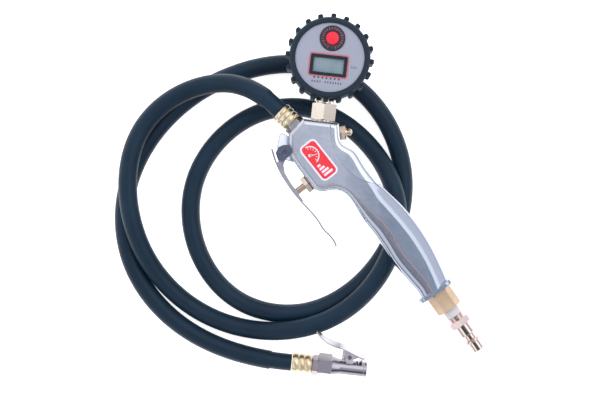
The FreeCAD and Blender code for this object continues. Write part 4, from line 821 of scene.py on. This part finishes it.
2.946 21.293 5.943 23.248, 2.410 22.006 5.418 23.942, 1.881 22.722 4.897 24.636,
1.360 23.444 4.381 25.331, 0.847 24.171 3.871 26.026, 0.341 24.902 3.367 26.720,
-0.161 25.638 2.870 27.410, -0.659 26.377 2.380 28.094, -1.156 27.121 1.898 28.770,
-1.651 27.868 1.424 29.437, -2.147 28.618 0.958 30.092, -2.638 29.373 0.506 30.739,
-3.117 30.134 0.072 31.383, -3.575 30.906 -0.339 32.029, -4.003 31.690 -0.719 32.684,
-4.393 32.488 -1.065 33.354, -4.736 33.304 -1.369 34.043, -5.026 34.139 -1.627 34.758,
-5.262 34.993 -1.840 35.496, -5.451 35.862 -2.012 36.252, -5.597 36.744 -2.148 37.022,
-5.705 37.636 -2.252 37.800, -5.781 38.535 -2.327 38.582, -5.830 39.438 -2.378 39.363,
-5.857 40.343 -2.409 40.137, -5.867 41.246 -2.425 40.900, -5.865 42.146 -2.428 41.649,
-5.852 43.043 -2.421 42.384, -5.829 43.937 -2.404 43.108, -5.798 44.829 -2.380 43.823,
-5.760 45.719 -2.348 44.529, -5.716 46.607 -2.312 45.229, -5.668 47.494 -2.271 45.923,
-5.618 48.381 -2.227 46.615
""")

# joint between casting and rear cover, x y
SEAM = [
    (25.184, 57.817), (25.559, 52.267), (25.934, 47.017), (26.834, 42.142), (28.409, 37.267),
    (30.584, 32.767), (33.434, 28.267), (36.584, 24.517), (40.184, 20.917), (43.934, 17.617),
    (47.684, 15.217), (51.434, 13.717), (55.559, 12.592), (60.884, 11.542),
]
# height from the mid plane, how far the cut stands off the seam
SEAM_FLARE = [(13.55, 0.05), (14.05, 0.42), (16, 1.6)]

# outline of the trigger lug, x y
LUG = [
    (-5.416, 47.317), (-11.116, 50.017), (-12.766, 48.367), (-13.666, 44.767),
    (-14.416, 39.667), (-14.116, 34.642), (-11.191, 30.817), (-7.066, 29.392),
    (-1.816, 27.892), (2.684, 37.267),
]
# the two places of the cover screws: head end, far end
COVER_SCREWS = [((40.559, 39.067), (32.684, 31.267)), ((52.484, 22.567), (43.559, 16.717))]


def skin_profile(width, slope, share, rounding):
    """Upper half of the section: (distance in from the outline, height from the mid plane)."""
    rise = math.tan(math.radians(slope))
    reach = share * width
    corner = (0.0, HALF - rise * width)
    start = (0.0, corner[1] - rounding)
    end = (reach, corner[1] + rise * reach)
    pull = 0.56
    handle_a = (0.0, start[1] + pull * rounding)
    handle_b = tuple(end[j] + pull * (corner[j] - end[j]) for j in (0, 1))
    points = [(0.0, start[1] * 0.33), (0.0, start[1] * 0.7), start]
    for i in range(1, 13):
        u = i / 12.0
        m = 1 - u
        points.append(tuple(m ** 3 * start[j] + 3 * m * m * u * handle_a[j]
                            + 3 * m * u * u * handle_b[j] + u ** 3 * end[j] for j in (0, 1)))
    # the ridge is blended wider where the band is steep or very shallow
    blend = 0.5 + 1.5 * max(0.0, slope - 9.0) / 18.0 + (0.5 if slope < 8.0 else 0.0)
    blend = min(blend, 0.42 * (width - reach))
    before = (width - blend, HALF - rise * blend)
    after, ridge = (width + blend, HALF), (width, HALF)
    points.append(((end[0] + before[0]) / 2, (end[1] + before[1]) / 2))
    for i in range(7):
        u = i / 6.0
        m = 1 - u
        points.append(tuple(m * m * before[j] + 2 * m * u * ridge[j] + u * u * after[j]
                            for j in (0, 1)))
    return points


def skin_blank():
    """Vertices and faces of the whole gun, before it is parted and carved."""
    verts = []
    for ox, oy, qx, qy, slope, share, rounding in SKIN:
        width = math.hypot(qx - ox, qy - oy)
        ux, uy = (qx - ox) / width, (qy - oy) / width
        upper = skin_profile(width, slope, share, rounding)
        full = [(x, -z) for x, z in reversed(upper)] + upper
        verts += [((ox + ux * x) * MM, (oy + uy * x) * MM, (MID_HEIGHT + z) * MM)
                  for x, z in full]
    n, m = len(SKIN), len(full)
    faces = []
    for i in range(n):
        j = (i + 1) % n
        for k in range(m - 1):
            faces.append((i * m + k, j * m + k, j * m + k + 1, i * m + k + 1))
    faces.append(tuple(i * m + m - 1 for i in range(n)))
    faces.append(tuple(i * m for i in reversed(range(n))))
    return verts, faces


def seam_tool(side):
    """Block beyond the seam; side +1 flares the cut in the casting, -1 draws the cover back,
    so the joint shows a fine groove."""
    line, _ = spline(SEAM, step=0.8)
    t = tangents(line)
    to_casting = np.stack([t[:, 1], -t[:, 0]], 1)
    rings = []
    for z, off in [(-z, off) for z, off in reversed(SEAM_FLARE)] + SEAM_FLARE:
        q = line + to_casting * (off * side)
        first = q[0] + (q[0] - q[1]) / np.linalg.norm(q[0] - q[1]) * 6
        last = q[-1] + (q[-1] - q[-2]) / np.linalg.norm(q[-1] - q[-2]) * 9
        outline = [first, *q, last, (84.0, 78.0), (24.9, 78.0)]
        rings.append([(x * MM, y * MM, (MID_HEIGHT + z) * MM) for x, y in outline])
    return loft("seam_tool", rings)


def casting_cutters():
    z = MID_HEIGHT
    relief = circle(PIVOT, 6.85, 96)
    # room for the lever on both sides of the lug
    cutters = [prism("cutter", relief, z + LUG_HALF, z + 26),
               prism("cutter", relief, z - 26, z - LUG_HALF)]
    # stepped valve bore
    for radius, start, end in ((5.0, -3, 14), (3.0, 13, 17), (5.0, 16, 34)):
        cutters.append(rod(radius, start, end, VALVE_BASE, VALVE_IN))
    # sockets of the bleed valve, gauge connector, hose nipple and inlet
    cutters += [
        rod(3.4, -3, 8.6, BLEED_BASE, -Vector(BLEED_OUT)),
        rod(5.0, -3, 7.2, base=(19.709, 59.317, z), along=(-0.11064, -0.99386, 0)),
        rod(4.82, -4, 9.5, base=(-0.166, 54.892, z), along=(0.72400, -0.68979, 0)),
        rod(6.8, -5, 14, INLET_BASE, along=(-FLANGE_OUT[0], -FLANGE_OUT[1], 0)),
    ]
    # shallow badge pocket
    pocket = turned(rounded_rect(31.8, 15.1, radius=4.0), BADGE_TURN, BADGE_CENTRE)
    cutters.append(prism("cutter", pocket, z + HALF - 0.45, z + HALF + 4))
    # square end just inside the flange face
    trim = [tuple(FLANGE_FACE[j] - FLANGE_OUT[j] * 0.6 + FLANGE_SIDE[j] * s * 40
                  + FLANGE_OUT[j] * t for j in (0, 1))
            for s, t in ((-1, 0), (1, 0), (1, 60), (-1, 60))]
    cutters.append(prism("cutter", trim, z - 30, z + 30))
    return cutters


def cover_cutters():
    cutters = [rod(3.55, -3, 20, BLEED_BASE, -Vector(BLEED_OUT))]
    for head, tip in COVER_SCREWS:
        length = math.dist(head, tip)
        along = ((tip[0] - head[0]) / length, (tip[1] - head[1]) / length, 0)
        for side in (-1, 1):
            base = (*head, MID_HEIGHT + 8.2 * side)
            cutters.append(rod(3.0, -8, 4.2, base, along))
    return cutters


def casting_and_cover():
    verts, faces = skin_blank()
    body = solid("casting_skin", verts, faces)
    cover = solid("cover_skin", verts, faces)
    carve(body, seam_tool(1))
    carve(cover, seam_tool(-1), "INTERSECT")
    for obj, cutters in ((body, casting_cutters()), (cover, cover_cutters())):
        for cutter in cutters:
            carve(obj, cutter)
    attach(body, "polished_casting", "body_casting")
    crisp(body, 27)
    attach(cover, "polished_cover", "rear_cover")
    crisp(cover, 27)


def trigger_lug():
    lug = prism("casting_lug", LUG, MID_HEIGHT - LUG_HALF, MID_HEIGHT + LUG_HALF)
    verts = lug.data.vertices
    # its faces close in across the gun, towards +X +Y
    low = min(v.co.x * ACROSS[0] + v.co.y * ACROSS[1] for v in verts)
    for v in verts:
        drop = 0.16 * (v.co.x * ACROSS[0] + v.co.y * ACROSS[1] - low)
        v.co.z -= math.copysign(drop, v.co.z - MID_HEIGHT * MM)
    bevel = lug.modifiers.new("soft", "BEVEL")
    bevel.width = 0.7 * MM
    bevel.segments = 4
    bevel.limit_method = "ANGLE"
    bevel.angle_limit = math.radians(35)
    attach(lug, "polished_casting")
    crisp(lug, 30)


def inlet_flange():
    width, height, corner, thick, edge = 28.6, 27.6, 5.5, 3.9, 0.9
    quarter = np.linspace(0, math.pi / 2, 7)
    # (place along the flange axis, inset of the outline)
    levels = [(-thick + edge * (1 - math.cos(a)), edge * (1 - math.sin(a))) for a in quarter]
    levels += [(-edge + edge * math.sin(a), edge * (1 - math.cos(a))) for a in quarter]
    rings = []
    for h, inset in levels:
        outline = rounded_rect(width - 2 * inset, height - 2 * inset, corner - inset, 14)
        rings.append([(*((FLANGE_FACE[j] + FLANGE_OUT[j] * h + FLANGE_SIDE[j] * x) * MM
                         for j in (0, 1)), (MID_HEIGHT + y) * MM) for x, y in outline])
    flange = loft("casting_flange", rings)
    attach(flange, "polished_casting")
    crisp(flange, 30)


casting_and_cover()
trigger_lug()
inlet_flange()

# ---------------------------------------------------------------- hose
# centre line from the gun to the chuck, x y z
HOSE_LINE = read_rows("""
-12.502 66.647 43.000, -13.588 67.682, -14.674 68.716, -15.760 69.751, -16.846 70.786,
-19.021 72.779 42.899, -21.258 74.672 42.607, -23.554 76.460 42.142, -25.905 78.141 41.521,
-28.308 79.710 40.761, -30.759 81.163 39.879, -33.254 82.496 38.893, -35.790 83.707 37.821,
-43.610 86.558 34.253, -51.670 88.159 30.525, -60.337 88.405 26.925, -69.860 87.251 23.848,
-79.095 84.790 21.852, -87.898 81.141 20.714, -96.171 76.428 19.901, -103.799 70.733 19.261,
-110.624 64.113 18.990, -116.481 56.635 19.138, -121.193 48.396 19.699,
-124.698 39.576 20.464, -127.069 30.387 21.234, -128.429 20.997 21.711,
-128.887 11.523 21.773, -128.528 2.047 21.420, -127.413 -7.370 20.698,
-125.572 -16.675 19.657, -123.005 -25.812 18.305, -119.709 -34.718 16.652,
-115.675 -43.325 14.800, -110.923 -51.568 12.631, -105.456 -59.372 10.350,
-99.276 -66.651 8.547, -92.422 -73.335 7.503, -84.968 -79.369 7.164, -77.005 -84.729 7.150,
-68.614 -89.388, -59.852 -93.309, -50.784 -96.460 7.272, -41.464 -98.796 7.965,
-31.966 -100.286 9.442, -22.377 -100.923 11.575, -12.783 -100.729 13.897,
-3.266 -99.743 15.661, 6.109 -97.950 16.780, 15.266 -95.307 17.475, 24.110 -91.776 17.997,
32.531 -87.339 18.527, 40.423 -82.025 19.011, 47.713 -75.917 19.500, 54.347 -69.106 20.066,
60.277 -61.681 20.575, 65.447 -53.715 20.995, 69.790 -45.275 21.327, 73.226 -36.431 21.571,
75.661 -27.263 21.739, 77.001 -17.877 21.700, 77.155 -8.399 21.329, 76.058 1.016 20.433,
73.761 10.215 18.722, 70.421 19.100 15.946, 66.127 27.594 12.816, 60.947 35.615 10.105,
54.953 43.083 8.251, 48.218 49.913 7.347, 40.819 56.024 7.150, 32.819 61.325, 24.270 65.682,
15.243 68.935, 5.857 70.917, -3.717 71.522, -13.284 70.795, -22.672 68.817, -31.733 65.660,
-40.329 61.397, -48.356 56.138, -55.728 49.994, -62.367 43.066, -68.192 35.439,
-73.111 27.200, -77.019 18.436, -79.801 9.253, -81.383 -0.210, -81.797 -9.797,
-81.090 -19.367, -79.313 -28.798, -76.504 -37.974, -72.695 -46.782, -67.908 -55.099,
-62.167 -62.787, -55.503 -69.690, -47.971 -75.632, -39.674 -80.447, -30.790 -84.071,
-21.509 -86.503, -11.994 -87.742, -2.399 -87.773, 7.120 -86.570, 16.401 -84.138,
25.320 -80.596, 33.786 -76.077, 41.737 -70.703, 49.125 -64.575, 55.900 -57.777,
62.013 -50.378, 67.418 -42.446, 72.072 -34.052, 75.934 -25.265, 78.962 -16.158,
81.119 -6.805, 82.366 2.711, 82.671 12.303, 82.008 21.878, 80.383 31.337, 77.846 40.593,
74.444 49.568, 70.211 58.182, 65.177 66.353, 59.366 73.991, 52.802 80.993, 45.518 87.241,
37.578 92.630, 29.084 97.095, 20.143 100.581, 10.865 103.033, 1.368 104.406,
-8.224 104.730, -17.801 104.106, -27.287 102.639, -36.627 100.424, -45.784 97.543,
-54.728 94.056, -63.424 89.989, -71.826 85.346, -79.890 80.138, -87.569 74.378,
-94.818 68.086, -101.594 61.286, -107.855 54.009, -113.559 46.289, -118.661 38.158,
-123.105 29.650, -126.828 20.803, -129.762 11.664, -131.835 2.293, -132.985 -7.235,
-133.199 -16.831, -132.483 -26.402, -130.841 -35.858, -128.273 -45.105, -124.781 -54.044,
-120.401 -62.584, -115.222 -70.665, -109.331 -78.243, -102.809 -85.285, -95.726 -91.763,
-88.142 -97.648, -80.119 -102.917, -71.725 -107.575, -63.030 -111.643,
-54.088 -115.138 7.206, -44.942 -118.066 7.461, -36.538 -120.273 7.844,
-28.613 -122.032 8.187, -25.971 -122.547 8.286, -23.322 -123.026 8.375,
-20.662 -123.470 8.451, -17.988 -123.880 8.514, -15.296 -124.254 8.560,
-12.582 -124.594 8.590, -9.841 -124.900 8.600, -8.349 -125.056, -6.857 -125.212,
-5.366 -125.368, -3.874 -125.525
""")


def hose_radii(s):
    """Outer radius at each arc length; the hose is pinched at both ends."""
    radii = np.full(len(s), HOSE_RADIUS)
    blend = 0.6
    for i in range(len(s)):
        for from_end, pinched in ((s[i], 13.2), (s[-1] - s[i], 16.2)):
            if from_end < pinched - blend:
                radii[i] = HOSE_PINCHED
            elif from_end < pinched + blend:
                radii[i] = HOSE_PINCHED + 0.65 * (from_end - pinched + blend) / 1.2
    return radii


def hose_tube():
    segments = 40
    line, s = spline(HOSE_LINE, step=1.3)
    n = len(line)
    t = tangents(line)
    # a side direction carried along the line without twist
    side = np.zeros_like(line)
    start = np.array([0, 0, 1.0]) - t[0] * t[0][2]
    side[0] = start / np.linalg.norm(start)
    for i in range(1, n):
        v = side[i - 1] - t[i] * np.dot(side[i - 1], t[i])
        side[i] = v / np.linalg.norm(v)
    other = np.cross(t, side)
    verts, along = [], []
    for radii in (hose_radii(s), np.full(n, HOSE_BORE)):
        for i in range(n):
            for k in range(segments):
                a = 2 * math.pi * k / segments
                c, d = math.cos(a), math.sin(a)
                verts.append(tuple((line[i] + (side[i] * c + other[i] * d) * radii[i]) * MM))
                along.append((s[i] / 7.0, c, d))
    bore = n * segments
    faces = []
    for i in range(n - 1):
        a, b = i * segments, (i + 1) * segments
        for k in range(segments):
            j = (k + 1) % segments
            faces.append((a + k, a + j, b + j, b + k))
            faces.append((bore + a + k, bore + b + k, bore + b + j, bore + a + j))
    end = (n - 1) * segments
    for k in range(segments):
        j = (k + 1) % segments
        faces.append((k, bore + k, bore + j, j))
        faces.append((end + k, end + j, bore + end + j, bore + end + k))
    hose = solid("hose_tube", verts, faces)
    attribute = hose.data.attributes.new("along", "FLOAT_VECTOR", "POINT")
    attribute.data.foreach_set("vector", np.array(along, dtype=np.float32).ravel())
    attach(hose, "hose_cover", "hose")
    crisp(hose, 50, weighted=False)


hose_tube()


# ---------------------------------------------------------------- marks on gauge and badge
def mark(name, outlines, node, finish, lift=0.05, depth=0.1):
    """Thin closed chips laid on the top of a CAD node."""
    source = NODES[node]
    tree = BVHTree.FromPolygons([source.matrix_world @ v.co for v in source.data.vertices],
                                [tuple(p.vertices) for p in source.data.polygons])
    verts, faces = [], []
    for outline in outlines:
        hits = [tree.ray_cast(Vector((x * MM, y * MM, 0.2)), Vector((0, 0, -1)))[0]
                for x, y in outline]
        found = [hit.z for hit in hits if hit is not None]
        if not found:
            # the outline lies wholly off the node
            continue
        tops = [hit.z if hit is not None else max(found) for hit in hits]
        faces += stack_faces(2, len(outline), first=len(verts))
        for offset in (-depth * MM, lift * MM):
            verts += [(x * MM, y * MM, top + offset) for (x, y), top in zip(outline, tops)]
    obj = solid(name, verts, faces)
    attach(obj, finish)


def gauge_bar(x, y, width, height, degrees):
    return turned(turned(box(width, height), degrees, (x, y)), GAUGE_TURN, GAUGE_CENTRE)


def gauge_marks():
    radius = 7.35
    ticks = []
    for k in range(24):
        degrees = 15.0 * k + 7.5
        if 255 < degrees < 285:
            continue
        a = math.radians(degrees)
        ticks.append(gauge_bar(BUTTON[0] + radius * math.cos(a), BUTTON[1] + radius * math.sin(a),
                               1.9 if k % 3 == 1 else 1.1, 0.42, degrees))
    mark("ring_ticks", ticks, "button_ring", "ring_ink")
    lean = -12
    bars = [gauge_bar(-0.8 + 3.05 * (i - 3), -15.4, 1.15, 1.7, lean) for i in range(7)]
    bars += [gauge_bar(-0.5 + 1.95 * (i - 5.5), -18.6, 0.75, 1.5, lean)
             for i in range(12) if i != 4]
    mark("panel_dashes", bars, "face_panel", "panel_ink")
    bars = [gauge_bar(16.9 + 1.55 * i, -5.6, 0.7, 1.4, lean) for i in range(3)]
    mark("panel_mark", bars, "face_panel", "panel_ink_soft")


def badge_motif():
    """A plain dial of arc, ticks, needle and hub, and four rising bars."""
    hub = (-6.6, -3.2)
    arc_inner, arc_outer, arc_start, arc_step = 6.3, 7.1, 8, 11.714
    outlines = []
    for k in range(14):
        a, b = (math.radians(arc_start + arc_step * i) for i in (k, k + 1))
        outlines.append([(hub[0] + r * math.cos(t), hub[1] + r * math.sin(t)) for r, t in
                         ((arc_inner, a), (arc_outer, a), (arc_outer, b), (arc_inner, b))])
    tick = [(4.5, -0.22), (5.7, -0.22), (5.7, 0.22), (4.5, 0.22)]
    outlines += [turned(tick, 20 + 23.33 * k, hub) for k in range(7)]
    outlines.append(turned([(0, -0.55), (5.2, 0), (0, 0.55)], 62, hub))
    outlines.append(circle(hub, 1.15, 24))
    for k in range(4):
        x, top = 2.6 + 2.7 * k, -3.9 + (2.6 + 1.7 * k)
        outlines.append([(x, -3.9), (x + 1.7, -3.9), (x + 1.7, top), (x, top)])
    placed = [turned(outline, BADGE_TURN, BADGE_CENTRE) for outline in outlines]
    mark("badge_motif", placed, "badge_inlay", "badge_enamel", lift=0.12)


gauge_marks()
badge_motif()


# ---------------------------------------------------------------- springs
def soft_spring(node):
    """Copy of a spring that rides with the gun, with a mesh of its own, in place of its CAD node."""
    source = NODES[node]
    mesh = source.data.copy()
    mesh.name = node + "_wire"
    mesh.transform(source.matrix_world)
    obj = bpy.data.objects.new(node + "_wire", mesh)
    bpy.context.scene.collection.objects.link(obj)
    smooth(obj)
    attach(obj, "spring_wire", node)
    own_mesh(obj)


soft_spring("valve_spring")
soft_spring("bleed_spring")
soft_spring("chuck_spring")


# ---------------------------------------------------------------- floor, light, camera
def stage_floor():
    mesh = bpy.data.meshes.new("floor")
    mesh.from_pydata([(x, y, 0) for x, y in box(8.0, 8.0)], [], [(0, 1, 2, 3)])
    obj = bpy.data.objects.new("floor", mesh)
    bpy.context.scene.collection.objects.link(obj)
    obj.location.z = -0.0004
    s = Surface("pale_floor")
    s.set("Base Color", (0.93, 0.93, 0.94, 1))
    s.set("Roughness", 0.9)
    s.set("Specular IOR Level", 0.1)
    s.set("Emission Color", (1, 1, 1, 1))
    s.set("Emission Strength", 0.80)
    paint(obj, "pale_floor")


def area_light(name, place, size, power, color):
    """Soft light aimed at the middle of the scene, in metres and watts."""
    light = bpy.data.lights.new(name, "AREA")
    light.energy = power
    light.size = size
    light.color = color
    obj = bpy.data.objects.new(name, light)
    bpy.context.scene.collection.objects.link(obj)
    obj.location = place
    aim = Vector((0, 0, 0.03)) - Vector(place)
    obj.rotation_euler = aim.to_track_quat("-Z", "Y").to_euler()
    obj.visible_glossy = False


# Colour of the surroundings by angle from straight up, in degrees, positive across the
# handle towards +X +Y: softboxes on both sides, a cool mid grey ceiling between them.
SURROUND = [
    (-180, (0.9, 0.9, 0.92)), (-100, (0.55, 0.56, 0.60)), (-93, (0.20, 0.22, 0.28)),
    (-80, (0.20, 0.22, 0.28)), (-68, (0.88, 0.89, 0.94)), (-34, (1.25, 1.25, 1.28)),
    (-26, (0.26, 0.31, 0.40)), (-13, (0.25, 0.30, 0.39)), (-10, (0.98, 0.72, 0.66)),
    (-6, (0.98, 0.72, 0.66)), (-3.5, (0.34, 0.41, 0.52)), (6, (0.48, 0.55, 0.66)),
    (11, (1.55, 1.57, 1.62)), (44, (1.50, 1.52, 1.58)), (51, (1.00, 1.02, 1.12)),
    (64, (0.92, 0.94, 1.04)), (76, (0.36, 0.38, 0.46)), (93, (0.36, 0.38, 0.44)),
    (100, (0.6, 0.61, 0.65)), (180, (0.9, 0.9, 0.92)),
]


def studio_world():
    world = bpy.data.worlds.new("studio")
    bpy.context.scene.world = world
    world.use_nodes = True
    w = Nodes(world.node_tree)
    output = w.new("OutputWorld")
    background = w.new("Background")
    w.put(background.outputs[0], output.inputs[0])
    view = w.new("TexCoord").outputs["Generated"]
    up, across, along = (w.vector_math("DOT_PRODUCT", view, direction)
                         for direction in ((0, 0, 1), ACROSS, ALONG))
    tilt = w.math("ARCTAN2", across, up)
    dome = w.ramp(w.remap(tilt, to=(0.0, 1.0), source=(-math.pi, math.pi)),
                  [((degrees + 180.0) / 360.0, color) for degrees, color in SURROUND])
    # plain tones beyond both ends of the handle
    for source, color in (((0.30, 0.62), (0.52, 0.53, 0.58)),
                          ((-0.34, -0.66), (0.95, 0.96, 1.02))):
        dome = w.mix(w.remap(along, to=(0.0, 1.0), source=source), dome, color)
    # the camera itself sees plain white
    direct = w.new("LightPath").outputs["Is Camera Ray"]
    w.put(w.mix(direct, dome, (1.0, 1.0, 1.0)), background.inputs["Color"])
    background.inputs["Strength"].default_value = 1.0


def top_camera():
    """Looks straight down on the gun."""
    camera = bpy.data.cameras.new("camera")
    camera.sensor_width = 36.0
    camera.lens = 96.0
    camera.clip_end = 20.0
    obj = bpy.data.objects.new("camera", camera)
    bpy.context.scene.collection.objects.link(obj)
    obj.location = (VIEW_X, VIEW_Y, MID_HEIGHT * MM + CAMERA_RISE)
    bpy.context.scene.camera = obj
    settings = bpy.context.scene.view_settings
    settings.view_transform = "Standard"
    settings.look = "None"
    settings.exposure = 0.0


stage_floor()
area_light("key", (-0.9, 0.8, 1.3), size=0.9, power=6.2, color=(1.0, 0.99, 0.98))
area_light("fill", (1.0, 0.5, 1.1), size=0.8, power=3.0, color=(0.97, 0.98, 1.0))
area_light("low", (0.2, -1.1, 0.9), size=0.8, power=2.0, color=(1.0, 1.0, 1.0))
studio_world()
top_camera()
